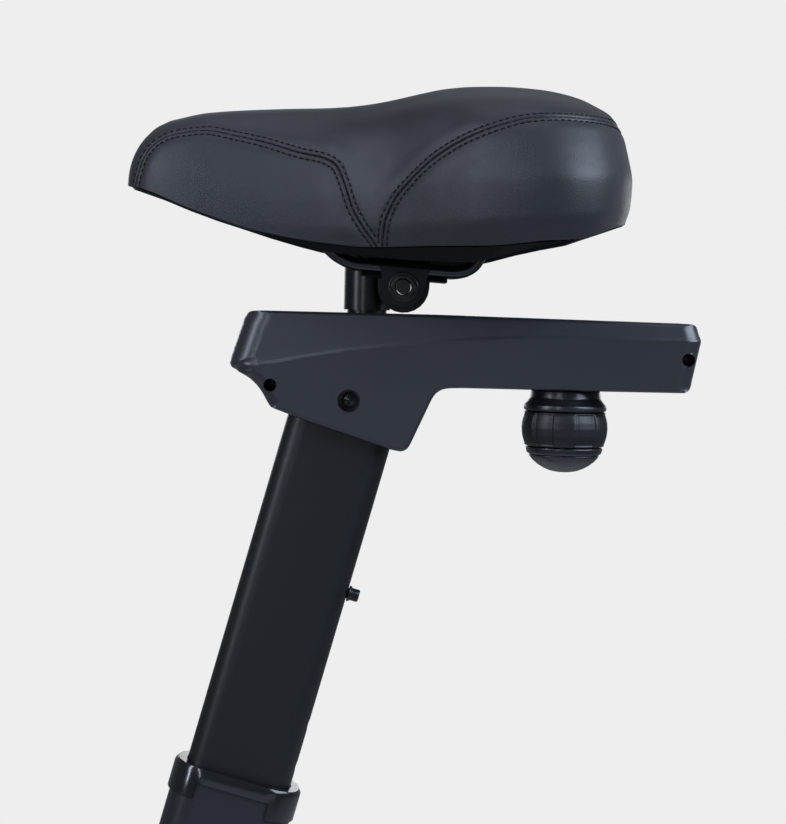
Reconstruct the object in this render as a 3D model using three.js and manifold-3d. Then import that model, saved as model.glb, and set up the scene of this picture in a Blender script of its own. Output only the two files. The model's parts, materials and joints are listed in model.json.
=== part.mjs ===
// Exercise bike saddle on a fore-and-aft slider and a leaning, height-adjustable seat post.
// Millimetres, +Z up, nose towards -X, the rider's left side towards -Y.
// The origin is the centre of the seat tube's level-cut lower end.

import * as THREE from 'three';
import { mergeVertices } from 'three/addons/utils/BufferGeometryUtils.js';
import Module from 'manifold-3d';

const wasm = await Module();
wasm.setup();

// ---------------------------------------------------------------- driving sizes

const lean = THREE.MathUtils.degToRad(15); // seat tube and post lean back from vertical
const gap = 0.3; // air between neighbouring pieces

const tube = { length: 70, width: 40, radius: 17, wall: 2 };
const post = { length: 60, width: 30, radius: 12, wall: 2, foot: 117 };
const collarTop = 267; // distances up the leaning axis from the origin
const pinHeight = 204;
const holePitch = 25;
const stopHeight = 381.5;
const head = { x: 135, z: 518 }; // pillar axis and top of the slider housing

const channel = { front: -60, rear: 170, half: 20, top: -5.2, bottom: -34.8, wall: 2.5, slot: 13 };
const slider = { front: -24, rear: 144, half: 17, top: -8, bottom: -28.3 };
const knobX = 112;
const pillarRadius = 11.1;
const bolt = { x: 20.1, z: 14.9, radius: 4 };
const rail = { radius: 3.5, half: 22, rise: 10.2, slope: THREE.MathUtils.degToRad(3.4) };

// ---------------------------------------------------------------- working frames

const leanFrame = new THREE.Matrix4().makeRotationY(lean);
const headFrame = new THREE.Matrix4().makeTranslation(head.x, 0, head.z);
const railFrame = headFrame.clone()
  .multiply(new THREE.Matrix4().makeTranslation(bolt.x, 0, bolt.z))
  .multiply(new THREE.Matrix4().makeRotationY(rail.slope));
const headToLean = leanFrame.clone().invert().multiply(headFrame);
const leanToHead = headToLean.clone().invert();

// ---------------------------------------------------------------- solids

const axes = {
  x: new THREE.Matrix4().makeBasis(unit(0, 1, 0), unit(0, 0, 1), unit(1, 0, 0)),
  y: new THREE.Matrix4().makeBasis(unit(0, 0, 1), unit(1, 0, 0), unit(0, 1, 0)),
  z: new THREE.Matrix4(),
};

function unit(x, y, z) {
  return new THREE.Vector3(x, y, z);
}

function signedVolume(geometry) {
  const at = geometry.attributes.position;
  const index = geometry.index;
  const corners = [unit(), unit(), unit()];
  let sum = 0;
  for (let i = 0; i < index.count; i += 3) {
    corners.forEach((corner, k) => corner.fromBufferAttribute(at, index.getX(i + k)));
    sum += corners[0].dot(corners[1].clone().cross(corners[2])) / 6;
  }
  return sum;
}

function dropSlivers(index) {
  const kept = [];
  for (let i = 0; i < index.length; i += 3) {
    const [a, b, c] = [index[i], index[i + 1], index[i + 2]];
    if (a !== b && b !== c && c !== a) {
      kept.push(a, b, c);
    }
  }
  return kept;
}

// A closed surface as a solid that faces outwards.
function solid(geometry) {
  geometry.deleteAttribute('normal');
  geometry.deleteAttribute('uv');
  const welded = mergeVertices(geometry, 1e-3);
  welded.setIndex(dropSlivers(Array.from(welded.index.array)));
  const index = Array.from(welded.index.array);
  if (signedVolume(welded) < 0) {
    for (let i = 0; i < index.length; i += 3) {
      [index[i], index[i + 1]] = [index[i + 1], index[i]];
    }
  }
  return new wasm.Manifold(new wasm.Mesh({
    numProp: 3,
    vertProperties: new Float32Array(welded.attributes.position.array),
    triVerts: new Uint32Array(index),
  }));
}

function surface(points, triangles) {
  const geometry = new THREE.BufferGeometry();
  const numbers = points.flatMap((p) => [p.x, p.y, p.z]);
  geometry.setAttribute('position', new THREE.Float32BufferAttribute(numbers, 3));
  geometry.setIndex(triangles);
  return geometry;
}

// Triangles across one ring: its two halves are joined point to point, so a thin folded ring is closed too.
function capOf(row, count, turned) {
  const triangles = [];
  for (let near = 0; near + 1 < count - 1 - near; near += 1) {
    const far = count - 1 - near;
    const quad = [near, near + 1, far - 1, far].map((corner) => row * count + corner);
    const order = turned ? [0, 2, 1, 0, 3, 2] : [0, 1, 2, 0, 2, 3];
    triangles.push(...order.slice(near + 1 === far - 1 ? 3 : 0).map((corner) => quad[corner]));
  }
  return triangles;
}

// Rings of equal length joined in order. Open ends are capped.
// Closed rows join the last ring to the first.
function loft(rings, closed = false) {
  const count = rings[0].length;
  const points = rings.flat();
  const triangles = [];
  const last = closed ? rings.length : rings.length - 1;
  for (let i = 0; i < last; i += 1) {
    for (let j = 0; j < count; j += 1) {
      const a = i * count + j;
      const b = i * count + (j + 1) % count;
      const c = ((i + 1) % rings.length) * count + j;
      const d = ((i + 1) % rings.length) * count + (j + 1) % count;
      triangles.push(a, b, c, b, d, c);
    }
  }
  if (!closed) {
    triangles.push(...capOf(0, count, true), ...capOf(rings.length - 1, count, false));
  }
  return solid(surface(points, triangles));
}

function block(x0, x1, y0, y1, z0, z1) {
  const box = new THREE.BoxGeometry(x1 - x0, y1 - y0, z1 - z0);
  return solid(box.translate((x0 + x1) / 2, (y0 + y1) / 2, (z0 + z1) / 2));
}

// A profile [radius, height] turned about an axis through the point `at`.
function turned(axis, profile, sides, at = [0, 0, 0]) {
  const rings = profile.map(([radius, height]) => {
    const ring = [];
    for (let j = 0; j < sides; j += 1) {
      const angle = ((j + 0.5) / sides) * 2 * Math.PI;
      ring.push(unit(radius * Math.cos(angle), radius * Math.sin(angle), height).applyMatrix4(axes[axis]));
    }
    return ring.map((p) => p.add(unit(...at)));
  });
  const ringed = profile[0][0] > 0.01 && profile[profile.length - 1][0] > 0.01;
  return loft(rings, ringed);
}

function rod(axis, radius, from, to, sides = 16, at = [0, 0, 0]) {
  return turned(axis, [[0, from], [radius, from], [radius, to], [0, to]], sides, at);
}

function ringOf(axis, outer, inner, from, to, sides = 20, at = [0, 0, 0]) {
  return turned(axis, [[inner, from], [outer, from], [outer, to], [inner, to]], sides, at);
}

// A flat outline of [a, b] pairs pushed along an axis.
function prism(axis, outline, from, to) {
  const shape = new THREE.Shape(outline.map(([a, b]) => new THREE.Vector2(a, b)));
  const geometry = new THREE.ExtrudeGeometry(shape, { depth: to - from, bevelEnabled: false });
  return solid(geometry.translate(0, 0, from).applyMatrix4(axes[axis]));
}

// The outline of a plate that stands in the XZ plane, for use with prism('y', ...).
function upright(outline) {
  return outline.map(([x, z]) => [z, x]);
}

function roundedRect(length, width, radius, steps = 4) {
  const outline = [];
  const centres = [[1, 1], [-1, 1], [-1, -1], [1, -1]];
  centres.forEach(([sx, sy], quarter) => {
    for (let i = 0; i <= steps; i += 1) {
      const angle = (quarter + i / steps) * (Math.PI / 2);
      outline.push([
        sx * (length / 2 - radius) + radius * Math.cos(angle),
        sy * (width / 2 - radius) + radius * Math.sin(angle),
      ]);
    }
  });
  return outline;
}

// A rounded-rectangle bar along the leaning axis, grown or shrunk all round.
function bar(size, grow, from, to) {
  return prism('z', roundedRect(size.length + 2 * grow, size.width + 2 * grow, size.radius + grow), from, to);
}

function bentRod(points, radius, sides, steps) {
  const path = new THREE.CatmullRomCurve3(points.map((p) => unit(...p)), false, 'centripetal');
  const circle = [];
  for (let j = 0; j < sides; j += 1) {
    const angle = (j / sides) * 2 * Math.PI;
    circle.push(new THREE.Vector2(radius * Math.cos(angle), radius * Math.sin(angle)));
  }
  return solid(new THREE.ExtrudeGeometry(new THREE.Shape(circle), { steps, extrudePath: path }));
}

function minus(body, ...tools) {
  return tools.reduce((rest, tool) => rest.subtract(tool), body);
}

function plus(body, ...more) {
  return more.reduce((sum, piece) => sum.add(piece), body);
}

function moved(body, matrix) {
  return body.transform(matrix.elements);
}

// Straight runs between named points, read at x.
function along(table, x) {
  let i = 0;
  while (i < table.length - 2 && table[i + 1][0] < x) {
    i += 1;
  }
  const [x0, y0] = table[i];
  const [x1, y1] = table[i + 1];
  return y0 + (y1 - y0) * THREE.MathUtils.clamp((x - x0) / (x1 - x0), 0, 1);
}

// ---------------------------------------------------------------- finishes and assembly

const finishes = {
  framePaint: { color: '#24262c', roughness: 0.45, metalness: 0.35 },
  postPaint: { color: '#26292f', roughness: 0.55, metalness: 0.3 },
  blackSteel: { color: '#17181b', roughness: 0.35, metalness: 0.8 },
  zincSteel: { color: '#8d9095', roughness: 0.35, metalness: 0.9 },
  glossPlastic: { color: '#101114', roughness: 0.2, metalness: 0 },
  satinPlastic: { color: '#2b2e36', roughness: 0.5, metalness: 0 },
  panPlastic: { color: '#17181b', roughness: 0.6, metalness: 0 },
  nylon: { color: '#d6d4cc', roughness: 0.6, metalness: 0 },
  rubber: { color: '#1b1c20', roughness: 0.8, metalness: 0 },
  foam: { color: '#4a4b50', roughness: 0.95, metalness: 0 },
  leather: { color: '#33363e', roughness: 0.55, metalness: 0 },
};

const seat = new THREE.Group();
seat.name = 'exercise_bike_saddle_and_post';

function add(name, finish, body, frame = new THREE.Matrix4()) {
  const placed = moved(body, frame).getMesh();
  const geometry = new THREE.BufferGeometry();
  geometry.setAttribute('position', new THREE.BufferAttribute(placed.vertProperties, 3));
  geometry.setIndex(new THREE.BufferAttribute(placed.triVerts, 1));
  geometry.computeVertexNormals();
  const material = new THREE.MeshStandardMaterial({ ...finishes[finish], flatShading: true });
  const mesh = new THREE.Mesh(geometry, material);
  mesh.name = name;
  seat.add(mesh);
}

const sides = [['left', -1], ['right', 1]];

// ---------------------------------------------------------------- seat tube and collar (fixed to the bike)

const levelCut = moved(block(-200, 200, -60, 60, -120, 0), leanFrame.clone().invert());
const tubeTop = collarTop - 8.3;
add('seat_tube', 'framePaint', minus(
  bar(tube, 0, -20, tubeTop),
  bar(tube, -tube.wall, -30, tubeTop + 10),
  levelCut,
  rod('x', 4.6, 28, 40, 16, [0, 0, pinHeight]),
), leanFrame);

const lipGrow = 1.7;
const lipBottom = collarTop - 8;
const sleeveBottom = collarTop - 48;
const lip = [[-lipGrow, lipBottom], [lipGrow, lipBottom], [lipGrow, collarTop - 2.5], [0, collarTop]];
const lipRings = lip.slice(1).map(([grow, z]) => (
  roundedRect(tube.length + 2 * grow, tube.width + 2 * grow, tube.radius + grow).map(([x, y]) => unit(x, y, z))
));
const skirt = minus(
  bar(tube, lipGrow, lipBottom - 9.5, lipBottom + 1),
  bar(tube, gap, lipBottom - 20, lipBottom),
  block(-21, 21, -40, 40, lipBottom - 20, lipBottom),
);
const sleeve = bar(tube, -tube.wall - gap, sleeveBottom, lipBottom + 1);
add('tube_collar', 'glossPlastic', minus(
  plus(loft(lipRings), skirt, sleeve),
  bar(post, gap + 0.1, sleeveBottom - 5, collarTop + 5),
), leanFrame);

// ---------------------------------------------------------------- height lock pin, held drawn back

const pinAt = [0, 0, pinHeight];
add('pin_boss', 'framePaint', minus(
  rod('x', 10, 28, 46, 24, pinAt),
  bar(tube, gap, pinHeight - 20, pinHeight + 20),
  rod('x', 7 + gap, 20, 50, 16, pinAt),
), leanFrame);
add('pin_sleeve', 'blackSteel', minus(
  plus(rod('x', 7, 37, 62, 16, pinAt), rod('x', 9.5, 46 + gap, 52, 6, pinAt), rod('x', 8, 52, 70, 16, pinAt)),
  rod('x', 4.3, 30, 45, 16, pinAt),
  rod('x', 6, 40, 66, 16, pinAt),
  rod('x', 2.8, 60, 75, 16, pinAt),
), leanFrame);
add('lock_pin', 'zincSteel', turned('x', [
  [0, 30.6], [3, 30.6], [4, 32], [4, 46.2], [5.7, 46.2], [5.7, 48], [2.5, 48], [2.5, 90], [0, 90],
], 16, pinAt), leanFrame);

const springTurns = 5;
const springPoints = [];
for (let i = 0; i <= springTurns * 8; i += 1) {
  const angle = (i / 8) * 2 * Math.PI;
  const along = 49.2 + (i / (springTurns * 8)) * 15.6;
  springPoints.push([along, 4.4 * Math.cos(angle), pinHeight + 4.4 * Math.sin(angle)]);
}
add('pin_spring', 'zincSteel', bentRod(springPoints, 0.65, 5, springTurns * 8), leanFrame);
add('pin_knob', 'satinPlastic', minus(
  turned('x', [
    [0, 77], [10, 77], [12, 80], [17, 82], [18.5, 86], [18.5, 96], [16.5, 99.5], [0, 100.5],
  ], 28, pinAt),
  rod('x', 2.8, 70, 91, 16, pinAt),
), leanFrame);

// ---------------------------------------------------------------- seat post

const postTopCut = moved(block(-200, 200, -60, 60, channel.bottom - gap, 80), headToLean);
const holeTools = [];
for (let i = -3; i <= 4; i += 1) {
  holeTools.push(rod('x', 4.5, 20, 40, 12, [0, 0, pinHeight + i * holePitch]));
}
const bossX = -8.3; // middle housing screw, on the post's axis
const bossZ = -48.2;
add('post_tube', 'postPaint', minus(
  bar(post, 0, post.foot, 560),
  bar(post, -post.wall, post.foot - 10, 570),
  postTopCut,
  moved(rod('y', 8.6, -30, 30, 16, [bossX, 0, bossZ]), headToLean),
  rod('x', 3.3, 20, 40, 12, [0, 0, stopHeight]),
  ...holeTools,
), leanFrame);
add('post_foot_glide', 'nylon', plus(
  bar(post, 2.6, post.foot - 6, post.foot - gap),
  bar(post, -post.wall - gap, post.foot - 3, post.foot + 5),
), leanFrame);
add('stop_screw', 'blackSteel', turned('x', [
  [0, 24], [3, 24], [3, 30.4], [4.6, 30.4], [4.6, 31.4], [3.6, 32.2], [3.6, 36.2], [2.9, 36.8], [0, 36.8],
], 12, [0, 0, stopHeight]), leanFrame);

// ---------------------------------------------------------------- slider housing, two halves

const housingOutline = [
  [-62, 0], [40, 0], [179, -1.6], [181.8, -3.4],
  [184.2, -10.7], [179.2, -36.6], [175.8, -39.4], [131, -39.6],
  [53, -39.6], [44.5, -40], [40.6, -41.6], [37.8, -44.6],
  [26, -71.2], [24.2, -74.2], [21, -75.5], [14.9, -74.4],
  [-28.3, -60.8], [-50.2, -53], [-52.4, -51.4], [-57.4, -42.6], [-63, -37], [-70.7, -33], [-73.6, -31.6],
  [-74.8, -29.2], [-74.2, -26], [-67.5, -4.5], [-65.4, -1],
];
const creaseLine = [
  [-90, -31], [-56, -29.1], [-35, -25.3], [-8, -20.5], [19, -17.1],
  [35, -15.4], [73, -12.5], [111, -11], [200, -10.8],
];
const housingHalf = { top: 24.5, crease: 28, bottom: 24 };
const housingWall = 2.6;

function offsetInward(outline, distance) {
  const count = outline.length;
  return outline.map((point, i) => {
    const before = outline[(i + count - 1) % count];
    const after = outline[(i + 1) % count];
    const [ax, ay] = [point[0] - before[0], point[1] - before[1]];
    const [bx, by] = [after[0] - point[0], after[1] - point[1]];
    const [al, bl] = [Math.hypot(ax, ay), Math.hypot(bx, by)];
    const normal = [ay / al + by / bl, -ax / al - bx / bl];
    const size = Math.hypot(...normal);
    const cosHalf = size / 2;
    return [
      point[0] + (normal[0] / size) * (distance / cosHalf),
      point[1] + (normal[1] / size) * (distance / cosHalf),
    ];
  });
}

function roundedPlan(x0, x1, half, radius) {
  return roundedRect(x1 - x0, 2 * half, radius, 6).map(([x, y]) => [x + (x0 + x1) / 2, y]);
}

function housingBody(inset) {
  const rings = creaseLine.map(([x, z]) => {
    const { top, crease, bottom } = housingHalf;
    return [
      [-(top - inset), 1], [top - inset, 1], [crease - inset, z], [bottom - inset, -80],
      [-(bottom - inset), -80], [-(crease - inset), z],
    ].map(([y, height]) => unit(x, y, height));
  });
  const shear = new THREE.Matrix4().makeShear(0, 0, 0, 0, 0.3, 0);
  const corner = 11 - inset;
  const half = housingHalf.crease - inset;
  const frontPlan = moved(prism('z', roundedPlan(-66.2 + inset, 260, half, corner), -90, 10), shear);
  const rearPlan = prism('z', roundedPlan(-160, 184.2 - inset, half, corner), -90, 10);
  return prism('y', upright(offsetInward(housingOutline, inset)), -40, 40)
    .intersect(loft(rings))
    .intersect(frontPlan)
    .intersect(rearPlan);
}

const screwSpots = [
  { name: 'front', x: -51.6, z: -40.5, bore: 3.7, tube: 5, head: 3.1, seat: 3 },
  { name: 'middle', x: bossX, z: bossZ, bore: 6.4, tube: 8, head: 4.4, seat: 14 },
  { name: 'rear', x: 176.7, z: -21.2, bore: 3.7, tube: 5, head: 3.1, seat: 12 },
];
const slotOpening = prism('z', roundedPlan(-59, 57.5, 12.6, 12), -20, 10);
const postOpening = moved(bar(post, 0.6, 400, 560), leanToHead);
const clampOpening = rod('z', 11.6, -60, -30, 28, [knobX, 0, 0]);
const housingShell = minus(housingBody(0), housingBody(housingWall), slotOpening, postOpening, clampOpening);
const outerSkin = housingBody(0);

sides.forEach(([side, sign]) => {
  const [low, high] = sign < 0 ? [-60, -gap / 2] : [gap / 2, 60];
  const half = block(-100, 220, low, high, -120, 20);
  let shell = housingShell.intersect(half);
  screwSpots.forEach(({ x, z, bore, tube: outer, seat: seatAt }) => {
    const at = [x, 0, z];
    if (sign < 0) {
      const boss = rod('y', outer, -40, -gap / 2, 14, at).intersect(outerSkin);
      shell = minus(plus(shell, boss), rod('y', bore, -45, -seatAt, 14, at), rod('y', 1.8, -20, 5, 12, at));
    } else {
      const boss = rod('y', Math.min(outer, 5), gap / 2, 40, 14, at).intersect(outerSkin);
      shell = minus(plus(shell, boss), rod('y', 1.8, -5, 14, 12, at));
    }
  });
  add(`housing_${side}`, 'satinPlastic', shell, headFrame);
});

screwSpots.forEach(({ name, x, z, head: headRadius, seat: seatAt }) => {
  const under = -seatAt - gap;
  const shank = turned('y', [
    [0, under - 3.1], [headRadius, under - 2.3], [headRadius, under], [1.5, under], [1.5, 11], [0, 12],
  ], 10, [x, 0, z]);
  const arm = 0.6 * headRadius;
  const cross = plus(
    block(x - arm, x + arm, under - 4, under - 1.5, z - 0.4, z + 0.4),
    block(x - 0.4, x + 0.4, under - 4, under - 1.5, z - arm, z + arm),
  );
  add(`housing_screw_${name}`, 'blackSteel', minus(shank, cross), headFrame);
});

// ---------------------------------------------------------------- slide channel, bar and clamp

const inner = channel.half - channel.wall;
const channelOutline = [
  [-channel.half, channel.bottom], [channel.half, channel.bottom], [channel.half, channel.top],
  [channel.slot, channel.top], [channel.slot, channel.top - channel.wall],
  [inner, channel.top - channel.wall],
  [inner, channel.bottom + channel.wall], [-inner, channel.bottom + channel.wall],
  [-inner, channel.top - channel.wall], [-channel.slot, channel.top - channel.wall],
  [-channel.slot, channel.top],
  [-channel.half, channel.top],
];
const floor = channel.bottom + channel.wall;
add('slide_channel', 'blackSteel', minus(
  prism('x', channelOutline, channel.front, channel.rear),
  rod('z', 4.6, -50, -20, 16, [knobX, 0, 0]),
), headFrame);
add('slide_liner', 'nylon', minus(
  block(channel.front + 1, channel.rear - 1, -inner + gap, inner - gap, floor + gap, slider.bottom - gap),
  rod('z', 9.3, -50, -20, 24, [knobX, 0, 0]),
), headFrame);
add('slider_bar', 'blackSteel', minus(
  block(slider.front, slider.rear, -slider.half, slider.half, slider.bottom, slider.top),
  block(
    slider.front - 5, slider.rear + 5, -slider.half + 3, slider.half - 3,
    slider.bottom + 3, slider.top - 3,
  ),
), headFrame);
add('slider_end_plug', 'nylon', block(
  slider.front - 1, slider.front + 8, -slider.half + 3 + gap, slider.half - 3 - gap,
  slider.bottom + 3 + gap, slider.top - 3 - gap,
), headFrame);
add('saddle_pillar', 'blackSteel', minus(
  rod('z', pillarRadius, slider.top + gap, 33, 20),
  rod('z', 8.6, 12, 40, 20),
), headFrame);
add('pillar_cap', 'panPlastic', plus(
  rod('z', 11, 33 + gap, 35.2, 16),
  rod('z', 8.6 - gap, 24, 34, 20),
), headFrame);

const knobAt = [knobX, 0, 0];
const spindleBoss = ringOf('z', 9.5, 4.6, -56, channel.bottom - gap, 24, knobAt);
add('spindle_boss', 'blackSteel', spindleBoss, headFrame);
add('spindle_pad', 'nylon', rod('z', 8.8, -30.8, slider.bottom - gap, 24, knobAt), headFrame);
add('clamp_spindle', 'zincSteel', turned('z', [
  [0, -76], [3.2, -76], [3.2, -62], [4.3, -61], [4.3, -31.1], [0, -31.1],
], 18, knobAt), headFrame);

// Ball knob: moulded core, soft ribbed grip and a domed end cap.
const knobCore = minus(
  turned('z', [
    [0, -75.8], [20.4, -75.8], [21.6, -72], [19.6, -71.6], [19.6, -51.8], [23, -51.4], [22.6, -47.6],
    [20, -44.4], [19.4, -40], [0, -40],
  ], 24, knobAt),
  rod('z', 10.6, -60, -38, 24, knobAt),
  rod('z', 4.6, -62, -50, 18, knobAt),
  rod('z', 3.5, -80, -60, 18, knobAt),
);
add('knob_core', 'satinPlastic', knobCore, headFrame);

const gripBlocks = 6;
const gripProfile = [[-71.2, 21.9], [-67, 23.1], [-61, 23.9], [-55, 23.6], [-52.1, 23.1]];
const gripRings = gripProfile.map(([z, radius]) => {
  const ring = [];
  for (let j = 0; j < gripBlocks; j += 1) {
    const middle = (j / gripBlocks) * 2 * Math.PI;
    [[-16, 0.3], [-13, 0], [0, 0], [13, 0], [16, 0.3], [30, 0.3]].forEach(([degrees, sunk]) => {
      const angle = middle + THREE.MathUtils.degToRad(degrees);
      const reach = radius - sunk * 4;
      ring.push(unit(knobX + reach * Math.cos(angle), reach * Math.sin(angle), z));
    });
  }
  return ring;
});
add('knob_grip', 'rubber', minus(loft(gripRings), rod('z', 19.6 + gap, -80, -45, 24, knobAt)), headFrame);
add('knob_cap', 'glossPlastic', minus(
  turned('z', [[0, -85.6], [8, -84.6], [14.4, -81.6], [18.4, -77.6], [19.6, -76.1], [0, -76.1]], 24, knobAt),
  rod('z', 3.5, -78, -70, 18, knobAt),
), headFrame);

// ---------------------------------------------------------------- saddle clamp

const boltAt = [bolt.x, 0, bolt.z];
const bandBottom = 1.8;
const earOutline = [];
for (let i = 0; i <= 12; i += 1) {
  const angle = THREE.MathUtils.degToRad(-90 + i * 15);
  earOutline.push([bolt.x + 11 * Math.cos(angle), bolt.z + 11 * Math.sin(angle)]);
}
earOutline.push([6, bolt.z + 11], [6, bolt.z - 11]);
const ears = prism('y', upright(earOutline), -6, 6);
add('clamp_band', 'blackSteel', minus(
  plus(rod('z', 13.1, bandBottom, 32.6, 20), ears),
  rod('z', pillarRadius + 0.4, -10, 50, 20),
  block(5, 40, -2.6, 2.6, -10, 50),
  rod('y', bolt.radius + 0.4, -20, 20, 16, boltAt),
), headFrame);

const teeth = 14;
const toothed = [];
for (let i = 0; i < teeth * 2; i += 1) {
  const angle = (i / (teeth * 2)) * 2 * Math.PI;
  const radius = i % 2 ? 8.1 : 7.3;
  toothed.push([bolt.x + radius * Math.cos(angle), bolt.z + radius * Math.sin(angle)]);
}

// Cross-section of a rail cradle between two angles, measured from straight outwards.
function cradleSection(sign, fromDegrees, toDegrees, outerRadius) {
  const section = [];
  const steps = 8;
  const point = (radius, i) => {
    const angle = THREE.MathUtils.degToRad(fromDegrees + ((toDegrees - fromDegrees) * i) / steps);
    return [sign * (rail.half + radius * Math.cos(angle)), rail.rise + radius * Math.sin(angle)];
  };
  for (let i = 0; i <= steps; i += 1) {
    section.push(point(outerRadius, i));
  }
  for (let i = steps; i >= 0; i -= 1) {
    section.push(point(rail.radius + gap, i));
  }
  return section;
}

function cheek(radius, halfTop, top) {
  const outline = [];
  for (let i = 0; i <= 12; i += 1) {
    const angle = THREE.MathUtils.degToRad(180 + i * 15);
    outline.push([radius * Math.cos(angle), radius * Math.sin(angle)]);
  }
  outline.push([halfTop, top], [-halfTop, top]);
  return outline;
}

function yPrism(outline, sign, near, far) {
  return prism('y', upright(outline), Math.min(sign * near, sign * far), Math.max(sign * near, sign * far));
}

sides.forEach(([side, sign]) => {
  add(`clamp_core_${side}`, 'blackSteel', minus(
    yPrism(toothed, sign, 6 + gap, 15.2),
    rod('y', bolt.radius + 0.4, -30, 30, 16, boltAt),
  ), headFrame);
  add(`inner_cup_${side}`, 'blackSteel', minus(
    plus(
      yPrism(cheek(14.2, 14.2, rail.rise), sign, 15.5, 18),
      prism('x', cradleSection(sign, 175, 290, 6.2), -23.6, 23.6),
    ),
    rod('y', bolt.radius + 0.4, -30, 30, 20),
  ), railFrame);
  add(`outer_cup_${side}`, 'blackSteel', minus(
    plus(
      yPrism(cheek(11, 13.6, rail.rise), sign, 25.9, 28.2),
      prism('x', cradleSection(sign, -15, 120, 6.2), -13.8, 13.8),
    ),
    rod('y', bolt.radius + 0.4, -40, 40, 20),
  ), railFrame);
  add(`clamp_washer_${side}`, 'zincSteel', moved(
    ringOf('y', 8.2, bolt.radius + 0.4, 28.5, 30.2, 16),
    new THREE.Matrix4().makeScale(1, sign, 1),
  ), railFrame);
  add(`clamp_nut_${side}`, 'blackSteel', moved(
    minus(rod('y', 6.9, 30.5, 37, 6), rod('y', bolt.radius + gap, 30, 38, 20)),
    new THREE.Matrix4().makeScale(1, sign, 1),
  ), railFrame);
});
add('clamp_bolt', 'zincSteel', rod('y', bolt.radius, -38.5, 38.5, 20), railFrame);

// ---------------------------------------------------------------- saddle form

const planPoints = [
  [-131.5, 13], [-122, 24], [-105, 31.5], [-80, 36], [-50, 40], [-20, 47], [10, 61], [38, 82], [62, 98],
  [85, 106], [105, 105.5], [121, 96], [133, 76], [140.3, 48], [143.4, 20],
];
const nose = -134.5;
const tail = 143.7;
const outlineLoop = new THREE.CatmullRomCurve3([
  unit(nose, 0, 0),
  ...planPoints.map(([x, y]) => unit(x, -y, 0)),
  unit(tail, 0, 0),
  ...planPoints.slice().reverse().map(([x, y]) => unit(x, y, 0)),
], true, 'centripetal');

const crownLine = [
  [-136, 98], [-122, 101], [-108, 105], [-90, 109], [-50, 112],
  [-10, 115.5], [20, 121.9], [45, 125], [70, 125.2],
  [90, 124.3], [110, 121.8], [128, 119], [146, 111],
];
const rimLine = [
  [-135, 67.5], [-128, 66.1], [-93, 53.2], [-58.6, 42.8], [-20, 36.8], [0, 35.4], [37, 36.2], [66, 36.7],
  [82, 38.2], [95, 39.8], [105, 40.4], [117, 42.4], [131, 47.4], [146, 52.5],
];
const panEdgeLine = [
  [-135, 65.5], [-122, 61.8], [-105, 55.4], [-88, 49.8], [-72, 45.3], [-55, 40.3], [-39, 36.3], [-22, 32.6],
  [0, 30.6], [30, 28.6], [60, 28.1], [72, 30.8], [85, 34.3],
  [96, 37.6], [105, 39.4], [117, 41.2], [131, 46.4],
  [146, 51.5],
];
const noseSeam = [
  [-128, 67.4], [-124, 81.9], [-115.4, 92], [-105.4, 95.8], [-88.9, 97.6], [-72.6, 94.7], [-56.3, 91.2],
  [-37.2, 85.6], [-23.6, 82.5], [-17.5, 78.8], [-13.5, 70.8], [-8.4, 56.5], [-2.7, 46.5], [5, 36],
];
const rearSeam = [
  [8.4, 35], [9.2, 46.5], [13, 57.5], [24.9, 73], [37.5, 84], [52.5, 92.6], [67.4, 98.4], [84.8, 102.6],
  [102.5, 103.8], [127.7, 103.4], [146, 103],
];

// How the cover falls from crown to rim: reach out from the spine, and share of the height that is left.
const noseFall = [
  [0, 1], [0.3, 0.955], [0.55, 0.84], [0.73, 0.7], [0.86, 0.53],
  [0.94, 0.36], [0.98, 0.2], [0.995, 0.08], [1, 0],
];
const rearFall = [
  [0, 1], [0.3, 0.985], [0.55, 0.92], [0.73, 0.85], [0.86, 0.73],
  [0.95, 0.55], [1, 0.36], [0.985, 0.17], [0.92, 0],
];

function fall(v, blend) {
  const at = THREE.MathUtils.clamp(v, 0, 1) * (noseFall.length - 1);
  const i = Math.min(Math.floor(at), noseFall.length - 2);
  const share = at - i;
  const value = (k) => {
    const before = THREE.MathUtils.lerp(noseFall[i][k], rearFall[i][k], blend);
    const after = THREE.MathUtils.lerp(noseFall[i + 1][k], rearFall[i + 1][k], blend);
    return THREE.MathUtils.lerp(before, after, share);
  };
  return [value(0), value(1)];
}

function spineX(x) {
  return THREE.MathUtils.mapLinear(x, nose, tail, -112, 104);
}

function dip(x, y) {
  const fade = THREE.MathUtils.smoothstep(x, -20, 40) * (1 - 0.5 * THREE.MathUtils.smoothstep(x, 100, 146));
  return 7 * fade * Math.exp(-((y / 15) ** 2));
}

function coverPoint(edge, v) {
  const blend = THREE.MathUtils.smoothstep(edge.x, -100, 40);
  const [reach, height] = fall(v, blend);
  const x = THREE.MathUtils.lerp(spineX(edge.x), edge.x, reach);
  const y = edge.y * reach;
  const z = THREE.MathUtils.lerp(along(rimLine, edge.x), along(crownLine, x), height);
  return unit(x, y, z - dip(x, y) * height);
}

// The same point pushed inwards, square to the cover.
function coverInside(t, v, depth) {
  const step = 0.004;
  const edge = outlineLoop.getPointAt(t);
  const ahead = outlineLoop.getPointAt((t + step) % 1);
  const behind = outlineLoop.getPointAt((t + 1 - step) % 1);
  const onward = coverPoint(ahead, v).sub(coverPoint(behind, v));
  const down = coverPoint(edge, Math.min(v + 0.03, 1)).sub(coverPoint(edge, Math.max(v - 0.03, 0)));
  const normal = v < 0.001 ? unit(0, 0, 1) : down.cross(onward).normalize();
  return coverPoint(edge, v).addScaledVector(normal, -depth);
}

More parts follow.
